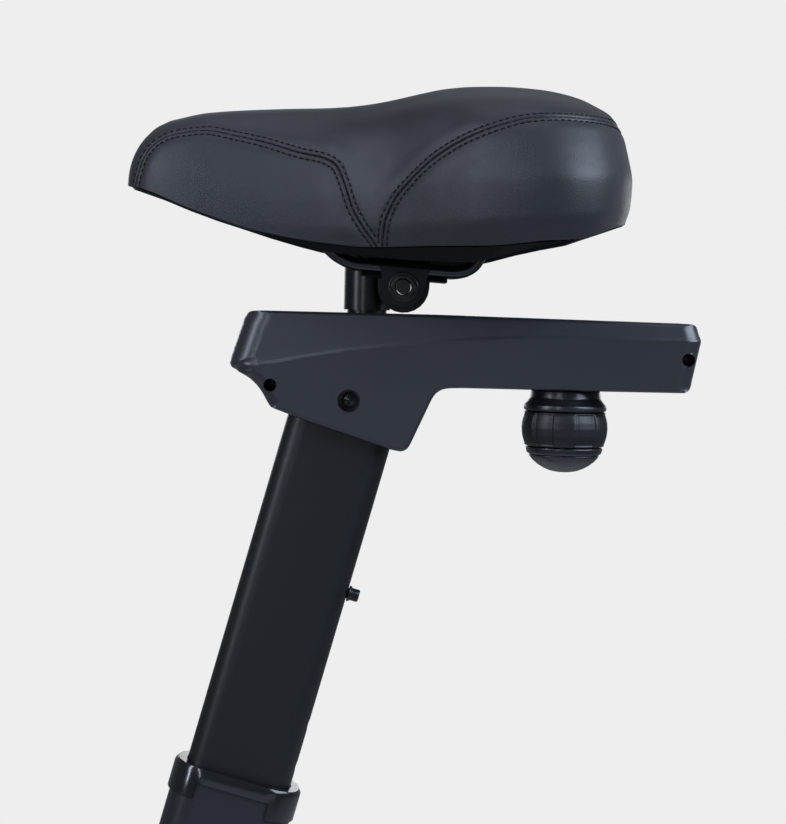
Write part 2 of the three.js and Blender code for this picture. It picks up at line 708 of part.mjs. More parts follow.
// Stations round the outline, closer together where the seams cross the flank.
const stations = [];
const quarterSteps = 400;
let lastX = -1000;
let lastY = 0;
for (let i = 0; i <= quarterSteps; i += 1) {
  const p = outlineLoop.getPointAt((0.5 * i) / quarterSteps);
  const spacing = p.x > -26 && p.x < 40 ? 7.5 : 15;
  if (Math.hypot(p.x - lastX, p.y - lastY) >= spacing && i < quarterSteps - 10) {
    stations.push((0.5 * i) / quarterSteps);
    [lastX, lastY] = [p.x, p.y];
  }
}
stations.push(0.5);
const round = [...stations, ...stations.slice(1, -1).reverse().map((t) => 1 - t)];

function seamAt(t) {
  const edge = outlineLoop.getPointAt(t);
  const seam = edge.x < 7 ? noseSeam : rearSeam;
  if (edge.x < noseSeam[0][0] + 1 || Math.abs(edge.x - 7) < 3) {
    return 1;
  }
  let [low, high] = [0.05, 1];
  for (let i = 0; i < 24; i += 1) {
    const middle = (low + high) / 2;
    const p = coverPoint(edge, middle);
    if (p.z > along(seam, p.x)) {
      low = middle;
    } else {
      high = middle;
    }
  }
  return Math.min(high, 1);
}

const coverThickness = 1.4;
const topRows = 6;
const flankRows = 3;
const seamGap = 0.006;

function patch(times, from, to, rows, wraps) {
  const columns = times.map((t) => {
    const column = [];
    for (let i = 0; i <= rows; i += 1) {
      const v = THREE.MathUtils.lerp(from(t), to(t), i / rows);
      column.push(coverInside(t, v, 0));
    }
    for (let i = rows; i >= 0; i -= 1) {
      const v = THREE.MathUtils.lerp(from(t), to(t), i / rows);
      column.push(coverInside(t, v, coverThickness));
    }
    return column;
  });
  return loft(columns, wraps);
}

const isNose = (t) => outlineLoop.getPointAt(t).x < 7;
const crossed = (t) => seamAt(t) < 0.93;
const half = stations.filter(crossed);
const noseLeft = half.filter(isNose);
const noseRight = noseLeft.slice().reverse().map((t) => 1 - t);
const rearLeft = half.filter((t) => !isNose(t));
const rearAll = [...rearLeft, ...rearLeft.slice(0, -1).reverse().map((t) => 1 - t)];

// The top cover closes on itself, so its two faces are joined along the outer edge only.
function topCover() {
  const rows = topRows;
  const ringAt = (i, depth) => round.map((t) => {
    const v = (Math.min(seamAt(t) - seamGap, 1) * i) / rows;
    return coverInside(t, v, depth);
  });
  const rings = [];
  for (let i = 0; i <= rows; i += 1) {
    rings.push(ringAt(i, 0));
  }
  for (let i = rows; i >= 0; i -= 1) {
    rings.push(ringAt(i, coverThickness));
  }
  return slitClosed(rings);
}

// Rings whose first and last are flat slits along the spine, closed by welding each slit to itself.
function slitClosed(rings) {
  const count = rings[0].length;
  const points = rings.flat();
  const triangles = [];
  for (let i = 0; i < rings.length - 1; i += 1) {
    for (let j = 0; j < count; j += 1) {
      const next = (j + 1) % count;
      const [a, b, c, d] = [i * count + j, i * count + next, (i + 1) * count + j, (i + 1) * count + next];
      triangles.push(a, b, c, b, d, c);
    }
  }
  return solid(surface(points, triangles));
}

function rimRing(reach, height) {
  return round.map((t) => {
    const edge = outlineLoop.getPointAt(t);
    const x = THREE.MathUtils.lerp(spineX(edge.x), edge.x, reach);
    return unit(x, edge.y * reach, height(edge.x, x));
  });
}

const dome = (share, drop) => (edgeX, x) => {
  const rim = along(rimLine, edgeX);
  return rim + share * (along(crownLine, x) - rim) - drop;
};

const coverPanels = {
  top: topCover(),
  nose_left: patch(noseLeft, (t) => seamAt(t) + seamGap, () => 1, flankRows, false),
  nose_right: patch(noseRight, (t) => seamAt(t) + seamGap, () => 1, flankRows, false),
  rear: patch(rearAll, (t) => seamAt(t) + seamGap, () => 1, flankRows, false),
};
Object.entries(coverPanels).forEach(([name, panel]) => add(`cover_${name}`, 'leather', panel, headFrame));

// The pad follows the cover row by row, a little inside it.
const padRow = (v) => round.map((t) => coverInside(t, Math.min(v(t), 1), coverThickness + 0.5));
const padRings = [];
for (let i = 0; i <= topRows; i += 1) {
  padRings.push(padRow((t) => (seamAt(t) - seamGap) * (i / topRows)));
}
for (let i = 1; i <= flankRows; i += 1) {
  padRings.push(padRow((t) => THREE.MathUtils.lerp(seamAt(t) + seamGap, 1, i / flankRows)));
}
const padBottom = [
  rimRing(0.86, dome(0, -0.4)), rimRing(0.78, dome(0.12, 0)), rimRing(0.6, dome(0.34, 0)),
  rimRing(0.3, dome(0.44, 0)), rimRing(0, dome(0.46, 0)),
];
const pad = minus(slitClosed([...padRings, ...padBottom]), ...Object.values(coverPanels));
add('foam_pad', 'foam', pad.decompose().sort((a, b) => b.volume() - a.volume())[0], headFrame);

const panEdge = (drop) => (edgeX) => along(panEdgeLine, edgeX) - drop;
const panBody = slitClosed([
  rimRing(0, dome(0.46, 0.8)), rimRing(0.3, dome(0.44, 0.8)), rimRing(0.6, dome(0.34, 0.8)),
  rimRing(0.78, dome(0.12, 0.9)), rimRing(0.86, dome(0, 0.5)), rimRing(0.9, dome(0, 0.6)),
  rimRing(0.84, panEdge(0)), rimRing(0.8, panEdge(0)), rimRing(0.76, dome(0.08, 1.6)),
  rimRing(0.58, dome(0.34, 3.6)), rimRing(0.3, dome(0.44, 3.6)), rimRing(0, dome(0.46, 3.6)),
]);

// ---------------------------------------------------------------- rails and the pan's sockets

// The straight run lies in the clamp, and both ends rise into the pan.
const straightRun = [-26, -21, 0, 21, 26].map((x) => unit(x, 0, rail.rise).applyMatrix4(railFrame));
const railPoints = [
  [-40, 51], [-32, 44.4], [-22.4, 36], [-16.5, 31], [-10.5, 28],
  ...straightRun.map((p) => [p.x - head.x, p.z - head.z]),
  [53.6, 24.6], [58.4, 27.6], [62.2, 34], [65.8, 42], [70.4, 53],
];
const railPath = (sign) => railPoints.map(([x, z]) => [x, sign * rail.half, z]);
let pan = panBody;
const ceiling = slitClosed([
  rimRing(0, dome(0.46, 1)),
  rimRing(0.3, dome(0.44, 1)),
  rimRing(0.6, dome(0.34, 1)),
  rimRing(0.78, dome(0.12, 1)),
  rimRing(0.78, () => 20), rimRing(0, () => 20),
]);
sides.forEach(([, sign]) => {
  const y = sign * rail.half;
  const frontSocket = block(-46, -29, y - 7, y + 7, 41, 90);
  const rearSocket = block(61, 77, y - 7, y + 7, 42.5, 90);
  pan = plus(pan, plus(frontSocket, rearSocket).intersect(ceiling));
});
sides.forEach(([side, sign]) => {
  const points = railPath(sign);
  const y = sign * rail.half;
  const bore = [[-41, y, 51.8], ...points.slice(1, -1), [71, y, 54.2]];
  pan = minus(pan, bentRod(bore, rail.radius + gap + 0.3, 8, 32));
  add(`rail_${side}`, 'blackSteel', bentRod(points, rail.radius, 8, 32), headFrame);
});
sides.forEach(([side, sign]) => {
  [['front', -37.5], ['rear', 69.4]].forEach(([place, x]) => {
    const y = sign * rail.half;
    const at = [x, 0, place === 'front' ? 55.5 : 60];
    const profile = [[0, 1.5], [1.6, 1.5], [1.6, 7.3], [3.2, 7.3], [3.2, 9.3], [0, 9.3]];
    const headSide = profile.map(([radius, reach]) => [radius, y - sign * reach]);
    pan = minus(pan, rod('y', 1.9, Math.min(y, y - sign * 8), Math.max(y, y - sign * 8), 12, at));
    add(`socket_screw_${place}_${side}`, 'zincSteel', turned('y', headSide, 12, at), headFrame);
  });
});
add('saddle_pan', 'panPlastic', pan, headFrame);

export default seat;
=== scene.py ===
"""Exercise bike saddle, slider and seat post: the looks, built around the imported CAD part.

Lengths in the shape functions are millimetres in the head frame, whose origin is on the saddle pillar's axis
at the height of the slider housing's top. at_head() turns them into the row frame in metres.
"""

import json
import math

import bmesh
import bpy
import numpy as np
from mathutils import Matrix, Vector


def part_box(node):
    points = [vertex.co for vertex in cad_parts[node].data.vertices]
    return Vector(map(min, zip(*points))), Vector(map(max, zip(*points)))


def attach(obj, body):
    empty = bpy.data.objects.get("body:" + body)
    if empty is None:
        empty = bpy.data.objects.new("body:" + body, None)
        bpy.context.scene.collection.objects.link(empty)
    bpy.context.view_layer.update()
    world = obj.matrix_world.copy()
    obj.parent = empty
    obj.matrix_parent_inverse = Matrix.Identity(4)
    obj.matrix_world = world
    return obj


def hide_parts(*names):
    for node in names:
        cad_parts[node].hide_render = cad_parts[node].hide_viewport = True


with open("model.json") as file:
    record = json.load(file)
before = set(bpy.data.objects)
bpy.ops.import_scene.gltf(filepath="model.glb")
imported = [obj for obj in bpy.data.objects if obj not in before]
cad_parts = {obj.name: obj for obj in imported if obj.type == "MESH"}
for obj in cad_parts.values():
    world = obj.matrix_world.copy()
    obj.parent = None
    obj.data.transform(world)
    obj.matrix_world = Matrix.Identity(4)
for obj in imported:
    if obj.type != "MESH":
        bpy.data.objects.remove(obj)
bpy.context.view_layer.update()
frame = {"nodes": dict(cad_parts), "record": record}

MM = 0.001


def box_middle(node):
    low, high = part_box(node)
    return (low + high) / 2


PILLAR = box_middle("saddle_pillar")
HEAD = Vector((PILLAR.x, 0.0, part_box("housing_left")[1].z))
BOLT = box_middle("clamp_bolt")


def at_head(points):
    """Millimetres in the head frame, as an array, to metres in the row frame."""
    return np.asarray(points, float) * MM + np.array(HEAD)


# ---------------------------------------------------------------- meshes


def mesh_object(name, points, faces, smooth=True):
    mesh = bpy.data.meshes.new(name)
    mesh.from_pydata([tuple(p) for p in points], [], [tuple(f) for f in faces])
    mesh.validate()
    obj = bpy.data.objects.new(name, mesh)
    bpy.context.scene.collection.objects.link(obj)
    for polygon in mesh.polygons:
        polygon.use_smooth = smooth
    return obj


def grid_faces(rows, columns, wrap):
    faces = []
    last = columns if wrap else columns - 1
    for i in range(rows - 1):
        for j in range(last):
            k = (j + 1) % columns
            faces.append((i * columns + j, i * columns + k, (i + 1) * columns + k, (i + 1) * columns + j))
    return faces


def weld(obj, distance=1e-5):
    work = bmesh.new()
    work.from_mesh(obj.data)
    bmesh.ops.remove_doubles(work, verts=work.verts, dist=distance)
    bmesh.ops.dissolve_degenerate(work, edges=work.edges, dist=distance / 4)
    bmesh.ops.recalc_face_normals(work, faces=work.faces)
    work.to_mesh(obj.data)
    work.free()


def grid_object(name, grid, wrap=False):
    """grid is rows x columns x 3, in metres."""
    rows, columns = grid.shape[:2]
    obj = mesh_object(name, grid.reshape(-1, 3), grid_faces(rows, columns, wrap))
    weld(obj)
    return obj


def finish_piece(obj, body, material, replaces=()):
    obj.data.materials.clear()
    obj.data.materials.append(material)
    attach(obj, body)
    if replaces:
        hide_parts(*replaces)
    return obj


# ---------------------------------------------------------------- materials


def linear(hex_colour):
    values = [int(hex_colour[i : i + 2], 16) / 255 for i in (1, 3, 5)]
    return [v / 12.92 if v <= 0.04045 else ((v + 0.055) / 1.055) ** 2.4 for v in values] + [1.0]


class Nodes:
    """A material's node tree, with the few node kinds that the finishes here are made of."""

    def __init__(self, name):
        self.material = bpy.data.materials.new(name)
        self.material.use_nodes = True
        self.tree = self.material.node_tree
        self.shader = self.tree.nodes["Principled BSDF"]
        self.coordinates = self.tree.nodes.new("ShaderNodeTexCoord").outputs["Object"]

    def link(self, source, target):
        self.tree.links.new(source, target)

    def noise(self, scale, detail=4.0, roughness=0.55, stretch=None):
        node = self.tree.nodes.new("ShaderNodeTexNoise")
        node.inputs["Scale"].default_value = scale
        node.inputs["Detail"].default_value = detail
        node.inputs["Roughness"].default_value = roughness
        self.link(self.place(stretch), node.inputs["Vector"])
        return node.outputs["Fac"]

    def cells(self, scale, stretch=None):
        node = self.tree.nodes.new("ShaderNodeTexVoronoi")
        node.feature = "DISTANCE_TO_EDGE"
        node.inputs["Scale"].default_value = scale
        self.link(self.place(stretch), node.inputs["Vector"])
        return node.outputs["Distance"]

    def place(self, stretch):
        if stretch is None:
            return self.coordinates
        node = self.tree.nodes.new("ShaderNodeMapping")
        node.inputs["Scale"].default_value = stretch
        self.link(self.coordinates, node.inputs["Vector"])
        return node.outputs["Vector"]

    def ramp(self, value, low, high, at=(0.0, 1.0)):
        node = self.tree.nodes.new("ShaderNodeMapRange")
        node.inputs["From Min"].default_value, node.inputs["From Max"].default_value = at
        node.inputs["To Min"].default_value, node.inputs["To Max"].default_value = low, high
        self.link(value, node.inputs["Value"])
        return node.outputs["Result"]

    def mix_colour(self, value, low, high):
        node = self.tree.nodes.new("ShaderNodeMix")
        node.data_type = "RGBA"
        node.inputs["A"].default_value = low
        node.inputs["B"].default_value = high
        self.link(value, node.inputs["Factor"])
        return node.outputs["Result"]

    def bump(self, height, strength, distance, under=None):
        node = self.tree.nodes.new("ShaderNodeBump")
        node.inputs["Strength"].default_value = strength
        node.inputs["Distance"].default_value = distance
        self.link(height, node.inputs["Height"])
        if under is not None:
            self.link(under, node.inputs["Normal"])
        return node.outputs["Normal"]

    def set(self, **values):
        for name, value in values.items():
            self.shader.inputs[name.replace("_", " ")].default_value = value


COOL = (0.84, 0.92, 1.08, 1.0)  # tint of the finishes' highlights


def leather_material():
    look = Nodes("saddle_leather")
    look.set(Specular_IOR_Level=0.36, Specular_Tint=COOL, Sheen_Weight=0.04, Sheen_Roughness=0.5)
    patches = look.mix_colour(look.noise(14, 3), linear("#13151b"), linear("#191c24"))
    look.link(patches, look.shader.inputs["Base Color"])
    look.link(look.ramp(look.noise(60, 3), 0.42, 0.54), look.shader.inputs["Roughness"])
    grain = look.bump(look.ramp(look.cells(900), 0, 1, (0.0, 0.35)), 0.16, 0.0003)
    pores = look.bump(look.noise(1600, 2), 0.1, 0.0002, under=grain)
    folds = look.bump(look.noise(45, 3), 0.1, 0.002, under=pores)
    look.link(folds, look.shader.inputs["Normal"])
    return look.material


def moulded_material(name, dark, light, roughness, grain=0.12, spread=0.08, specular=0.5):
    look = Nodes(name)
    look.set(Specular_IOR_Level=specular, Specular_Tint=COOL)
    mottle = look.mix_colour(look.noise(22, 4), linear(dark), linear(light))
    look.link(mottle, look.shader.inputs["Base Color"])
    low, high = roughness - spread / 2, roughness + spread / 2
    look.link(look.ramp(look.noise(90, 4), low, high), look.shader.inputs["Roughness"])
    look.link(look.bump(look.noise(1400, 2), grain, 0.0002), look.shader.inputs["Normal"])
    return look.material


def painted_material(name, dark, light, roughness, wear=0.62):
    """Powder coat with a fine orange peel and a few short bright scuffs."""
    look = Nodes(name)
    look.set(Specular_IOR_Level=0.3, Specular_Tint=COOL)
    base = look.mix_colour(look.noise(30, 5), linear(dark), linear(light))
    scuffs = look.noise(95, 6, 0.7, stretch=(1, 1, 0.35))
    share = look.ramp(scuffs, 0, 1, (wear + 0.12, wear + 0.2))
    node = look.tree.nodes.new("ShaderNodeMix")
    node.data_type = "RGBA"
    node.inputs["B"].default_value = linear("#6b6e76")
    look.link(share, node.inputs["Factor"])
    look.link(base, node.inputs["A"])
    look.link(node.outputs["Result"], look.shader.inputs["Base Color"])
    uneven = look.ramp(look.noise(120, 3), roughness - 0.05, roughness + 0.07)
    look.link(uneven, look.shader.inputs["Roughness"])
    look.link(look.bump(look.noise(700, 2), 0.12, 0.0003), look.shader.inputs["Normal"])
    return look.material


def steel_material(name, dark, light, roughness):
    look = Nodes(name)
    look.set(Metallic=1.0)
    tarnish = look.mix_colour(look.noise(40, 5), linear(dark), linear(light))
    look.link(tarnish, look.shader.inputs["Base Color"])
    brushed = look.noise(160, 3, stretch=(1, 1, 8))
    look.link(look.ramp(brushed, roughness - 0.08, roughness + 0.12), look.shader.inputs["Roughness"])
    look.link(look.bump(brushed, 0.06, 0.0002), look.shader.inputs["Normal"])
    return look.material


MATERIALS = {
    "cover_leather": leather_material(),
    "satin_plastic": moulded_material("housing_plastic", "#181a21", "#1d1f27", 0.34, 0.14),
    "pan_plastic": moulded_material("pan_plastic", "#030304", "#050507", 0.6, 0.2, specular=0.12),
    "gloss_plastic": moulded_material("gloss_plastic", "#0a0b0d", "#0e1013", 0.16, 0.01, 0.06),
    "nylon": moulded_material("nylon", "#c9c7be", "#d9d7cf", 0.5),
    "grip_rubber": moulded_material("grip_rubber", "#15171b", "#1c1e23", 0.6, 0.25),
    "pad_foam": moulded_material("pad_foam", "#3a3b40", "#48494f", 0.95, 0.9),
    "post_paint": painted_material("post_paint", "#06070a", "#090a0e", 0.42),
    "frame_paint": painted_material("frame_paint", "#16181e", "#1b1d23", 0.36, 0.7),
    "black_steel": moulded_material("black_steel", "#030405", "#060708", 0.3, 0.06, specular=0.3),
    "knob_gloss": moulded_material("knob_gloss", "#0c0e12", "#101217", 0.3, 0.05),
    "knob_grip": moulded_material("knob_grip", "#0c0e12", "#101216", 0.42, 0.12, specular=0.3),
    "rail_enamel": moulded_material("rail_enamel", "#040506", "#070809", 0.26, 0.05),
    "zinc_steel": steel_material("zinc_steel", "#6f7278", "#8b8e94", 0.3),
}

# ---------------------------------------------------------------- saddle form


def smooth_through(table, x):
    """A smooth curve through (x, y) pairs that doesn't overshoot between them."""
    table = np.array(table, float)
    xs, ys = table[:, 0], table[:, 1]
    run = np.diff(xs)
    slope = np.diff(ys) / run
    at = np.zeros_like(xs)
    at[0], at[-1] = slope[0], slope[-1]
    same = slope[:-1] * slope[1:] > 0
    left, right = 2 * run[1:] + run[:-1], run[1:] + 2 * run[:-1]
    with np.errstate(divide="ignore", invalid="ignore"):
        mean = (left + right) / (left / slope[:-1] + right / slope[1:])
    at[1:-1] = np.where(same, mean, 0)
    x = np.clip(np.asarray(x, float), xs[0], xs[-1])
    i = np.clip(np.searchsorted(xs, x) - 1, 0, len(xs) - 2)
    s = (x - xs[i]) / run[i]
    return (
        ys[i] * (1 + 2 * s) * (1 - s) ** 2
        + at[i] * run[i] * s * (1 - s) ** 2
        + ys[i + 1] * s**2 * (3 - 2 * s)
        + at[i + 1] * run[i] * s**2 * (s - 1)
    )


NOSE, TAIL = -134.5, 143.7
PLAN = [
    (-131.5, 13), (-122, 24), (-105, 31.5), (-80, 36), (-50, 40), (-20, 47), (10, 61), (38, 82), (62, 98),
    (85, 106), (105, 105.5), (121, 96), (133, 76), (140.3, 48), (143.4, 20),
]
CROWN = [
    (-136, 98), (-122, 101), (-108, 105), (-90, 109), (-50, 112), (-22, 113.3), (-4, 115.6), (15, 118.9),
    (28, 121.6), (40, 123.8), (55, 125), (70, 125.2), (90, 124.3), (110, 121.8), (128, 119), (146, 111),
]
RIM = [
    (-135, 67.5), (-128, 66.1), (-93, 53.2), (-58.6, 42.8), (-20, 36.8), (0, 35.4), (37, 36.2), (66, 36.7),
    (82, 38.2), (95, 39.8), (105, 40.4), (117, 42.4), (131, 47.4), (146, 52.5),
]
NOSE_SEAM = [
    (-128, 67.4), (-124, 81.9), (-115.4, 92), (-105.4, 95.8), (-88.9, 97.6), (-72.6, 94.7), (-56.3, 91.2),
    (-37.2, 85.6), (-23.6, 82.5), (-17.5, 78.8), (-13.5, 70.8), (-8.4, 56.5), (-2.7, 46.5), (5, 36),
]
REAR_SEAM = [
    (8.4, 35), (9.2, 46.5), (13, 57.5), (24.9, 73), (37.5, 84), (52.5, 92.6), (67.4, 98.4),
    (84.8, 102.6), (102.5, 103.8), (127.7, 103.4), (146, 103),
]
# How the cover falls from crown to rim: reach out from the spine, and share of the height that is left.
NOSE_FALL = [
    (0, 1), (0.3, 0.955), (0.55, 0.84), (0.73, 0.7), (0.86, 0.53), (0.94, 0.36), (0.98, 0.2), (0.995, 0.08),
    (1, 0),
]
REAR_FALL = [
    (0, 1), (0.3, 0.985), (0.55, 0.92), (0.73, 0.85), (0.86, 0.73), (0.95, 0.55), (1, 0.36), (0.985, 0.17),
    (0.92, 0),
]
STATIONS = 400  # columns round the saddle


def smoothstep(x, low, high):
    s = np.clip((np.asarray(x, float) - low) / (high - low), 0, 1)
    return s * s * (3 - 2 * s)


def centripetal_loop(points, count):
    """Evenly spaced points on a closed centripetal Catmull-Rom curve through the points."""
    p = np.array(points, float)
    dense = []
    total = len(p)
    for i in range(total):
        a, b, c, d = (p[(i + k) % total] for k in (-1, 0, 1, 2))
        t0 = 0.0
        t1 = t0 + np.linalg.norm(b - a) ** 0.5
        t2 = t1 + np.linalg.norm(c - b) ** 0.5
        t3 = t2 + np.linalg.norm(d - c) ** 0.5
        for t in np.linspace(t1, t2, 40, endpoint=False):
            ab = a * (t1 - t) / (t1 - t0) + b * (t - t0) / (t1 - t0)
            bc = b * (t2 - t) / (t2 - t1) + c * (t - t1) / (t2 - t1)
            cd = c * (t3 - t) / (t3 - t2) + d * (t - t2) / (t3 - t2)
            abc = ab * (t2 - t) / (t2 - t0) + bc * (t - t0) / (t2 - t0)
            bcd = bc * (t3 - t) / (t3 - t1) + cd * (t - t1) / (t3 - t1)
            dense.append(abc * (t2 - t) / (t2 - t1) + bcd * (t - t1) / (t2 - t1))
    dense = np.array(dense + [dense[0]])
    length = np.concatenate([[0], np.cumsum(np.linalg.norm(np.diff(dense, axis=0), axis=1))])
    at = np.linspace(0, length[-1], count, endpoint=False)
    return np.stack([np.interp(at, length, dense[:, k]) for k in (0, 1)], axis=1)


EDGE = centripetal_loop(
    [(NOSE, 0)] + [(x, -y) for x, y in PLAN] + [(TAIL, 0)] + [(x, y) for x, y in reversed(PLAN)], STATIONS
)
EDGE[0, 1] = EDGE[STATIONS // 2, 1] = 0.0


SPINE_FRONT, SPINE_REAR = -112, 104  # the ends of the line the cover falls away from
DIP_DEPTH, DIP_HALF_WIDTH = 7, 15  # the channel along the middle of the seat


def spine_x(x):
    """The place on the spine that a point of the edge belongs to."""
    return SPINE_FRONT + (x - NOSE) / (TAIL - NOSE) * (SPINE_REAR - SPINE_FRONT)


def dip(x, y):
    """Depth of the middle channel, which begins at the waist and is half as deep at the tail."""
    fade = smoothstep(x, -20, 40) * (1 - 0.5 * smoothstep(x, 100, 146))
    return DIP_DEPTH * fade * np.exp(-((y / DIP_HALF_WIDTH) ** 2))


KNOTS = np.linspace(0, 1, len(NOSE_FALL))


def fall(v, blend):
    """Reach and height at share v of the way down, blended from the nose's fall to the rear's."""
    values = []
    for k in (0, 1):
        nose = smooth_through(list(zip(KNOTS, [f[k] for f in NOSE_FALL])), v)
        rear = smooth_through(list(zip(KNOTS, [f[k] for f in REAR_FALL])), v)
        values.append(nose + (rear - nose) * blend)
    return values


def cover_points(v, edge=None):
    """Points of the cover at share v of the way from spine to rim, one for each station."""
    edge = EDGE if edge is None else edge
    reach, height = fall(v, smoothstep(edge[:, 0], -100, 40))
    x = spine_x(edge[:, 0]) + (edge[:, 0] - spine_x(edge[:, 0])) * reach
    y = edge[:, 1] * reach
    rim = smooth_through(RIM, edge[:, 0])
    z = rim + (smooth_through(CROWN, x) - rim) * height - dip(x, y) * height
    return np.stack([x, y, z], axis=1)


def open_curve(points, step=0.4):
    """Evenly spaced points on a smooth curve through the points, in order."""
    p = np.array(points, float)
    run = np.concatenate([[0], np.cumsum(np.linalg.norm(np.diff(p, axis=0), axis=1))])
    at = np.arange(0, run[-1], step)
    return np.stack([smooth_through(list(zip(run, p[:, k])), at) for k in range(p.shape[1])], axis=1)


BELOW = 20.0  # the height, under the rim, that each seam's outline runs on down to
# Each flank panel as an outline seen from the side: its seam, closed far below the saddle.
PANELS = {
    "nose": open_curve([(-133, 45), (-130, 58)] + NOSE_SEAM + [(8, 30), (10, BELOW)]),
    "rear": open_curve([(7.6, BELOW), (8, 30)] + REAR_SEAM + [(170, 102)]),
}
CLOSING = {"nose": [(10, -50), (-200, -50), (-200, 45)], "rear": [(170, -50), (7.6, -50)]}


def inside_outline(outline, points):
    x, z = points[:, 0], points[:, 1]
    inside = np.zeros(len(points), bool)
    for (x0, z0), (x1, z1) in zip(outline, np.roll(outline, -1, axis=0)):
        if z0 != z1:
            crossing = x0 + (z - z0) / (z1 - z0) * (x1 - x0)
            inside ^= ((z0 > z) != (z1 > z)) & (x < crossing)
    return inside


def side_distance(panel, x, z):
    """Distance to a panel's seam seen from the side, positive inside the panel."""
    line = PANELS[panel]
    outline = np.concatenate([line, CLOSING[panel]])
    gap = np.full(len(x), 1e9)
    for start in range(0, len(x), 8000):
        block = slice(start, start + 8000)
        offsets = np.stack([x[block], z[block]], axis=1)[:, None] - line[None]
        gap[block] = np.linalg.norm(offsets, axis=2).min(axis=1)
    inside = inside_outline(outline, np.stack([x, z], axis=1))
    return np.where(inside, gap, -gap)


def chain(points, start, reach=8.0):
    """Points in order along the line they lie on, from the one nearest to start."""
    left = list(range(len(points)))
    here = min(left, key=lambda i: np.linalg.norm(points[i] - start))
    order = []
    while True:
        order.append(here)
        left.remove(here)
        if not left:
            break
        gaps = np.linalg.norm(points[left] - points[here], axis=1)
        if gaps.min() > reach:
            break
        here = left[int(gaps.argmin())]
    return order


def smoothed(values, passes=3):
    """Each value averaged with its neighbours along the first axis, ends kept."""
    values = np.array(values, float)
    for _ in range(passes):
        values[1:-1] = (values[:-2] + 2 * values[1:-1] + values[2:]) / 4
    return values


def resample(line, step, *others):
    run = np.concatenate([[0], np.cumsum(np.linalg.norm(np.diff(line, axis=0), axis=1))])
    at = np.arange(0, run[-1], step)
    return [np.stack([np.interp(at, run, each[:, k]) for k in range(3)], axis=1) for each in (line, *others)]


ROWS = 120  # rows from the spine to the rim
SEAM_STEP = 0.5  # between the points of a seam line


def grid_normals(grid):
    """Outward normals of a wrapped grid of points, rows from spine to rim."""
    down = np.gradient(grid, axis=0)
    onward = np.roll(grid, -1, axis=1) - np.roll(grid, 1, axis=1)
    normals = np.cross(down, onward)
    size = np.linalg.norm(normals, axis=2, keepdims=True)
    normals = normals / np.maximum(size, 1e-9)
    normals[0] = (0, 0, 1)
    return normals


class CoverForm:
    """The bare form of the cover as a fine mesh, with its seams found on it."""

    def __init__(self):
        shares = np.linspace(0, 1, ROWS)
        grid = np.stack([cover_points(np.full(STATIONS, v)) for v in shares])
        normals = grid_normals(grid)
        self.points = grid.reshape(-1, 3)
        self.normals = normals.reshape(-1, 3)
        self.faces = np.array(grid_faces(ROWS, STATIONS, True))
        self.seams = []
        for panel in PANELS:
            self.seams += self.find_seams(panel)

    def find_seams(self, panel):
        """Where the mesh's edges cross the seam: a line of points with their normals, for each seam."""
        level = side_distance(panel, self.points[:, 0], self.points[:, 2])
        rows, columns = ROWS, STATIONS
        index = np.arange(rows * columns).reshape(rows, columns)
        edges = np.concatenate([
            np.stack([index[:-1].ravel(), index[1:].ravel()], axis=1),
            np.stack([index.ravel(), np.roll(index, -1, axis=1).ravel()], axis=1),
        ])
        a, b = edges[:, 0], edges[:, 1]
        crossed = (level[a] > 0) != (level[b] > 0)
        a, b = a[crossed], b[crossed]
        share = (level[a] / (level[a] - level[b]))[:, None]
        points = self.points[a] * (1 - share) + self.points[b] * share
        normals = self.normals[a] * (1 - share) + self.normals[b] * share
        seams = []
        groups = [np.ones(len(points), bool)]
        if panel == "nose":
            groups = [points[:, 1] < 0, points[:, 1] >= 0]
        for group in groups:
            some, towards = points[group], normals[group]
            start = some[np.argmin(some[:, 2] + (some[:, 1] > 0) * 1000 * (panel == "rear"))]
            order = chain(some, start)
            line, up = resample(some[order], SEAM_STEP, towards[order])
            seams.append((smoothed(line), smoothed(up, 12)))
        return seams


FORM = CoverForm()


def gap_to_lines(points, lines):
    """Distance from each point to the nearest of the seam lines."""
    best = np.full(len(points), 1e9)
    dense = np.concatenate([line for line, _ in lines])
    for start in range(0, len(points), 3000):
        block = slice(start, start + 3000)
        best[block] = np.linalg.norm(points[block, None] - dense[None], axis=2).min(axis=1)
    return best


STITCH_OFFSET = 2.8  # from the seam's centre to each row of stitches
STITCH_PITCH, STITCH_LENGTH, THREAD_RADIUS = 3.4, 2.4, 0.42
FINE_BAND = 4.2  # the mesh is finer within this distance of a seam
FINE_EDGE = 0.55  # the shortest edge that is still split there
COVER_NODES = {"top": "cover_top", "nose": "cover_nose", "rear": "cover_rear"}
LEATHER_THICKNESS = 1.1


def seam_relief(distance):
    """Height of the leather beside a seam: a narrow joint, a hollow under each stitch row, padding beyond."""
    joint = -0.75 * np.exp(-((distance / 0.45) ** 2))
    rows = -0.32 * np.exp(-(((distance - STITCH_OFFSET) / 0.5) ** 2))
    band = 0.3 * np.exp(-(((distance - 1.4) / 0.9) ** 2))
    padding = 0.35 * np.exp(-(((distance - 7.5) / 4.0) ** 2))
    return joint + rows + band + padding


def seam_band(points):
    """True for points near enough to a seam to need a finer mesh."""
    return gap_to_lines(points, FORM.seams) < FINE_BAND


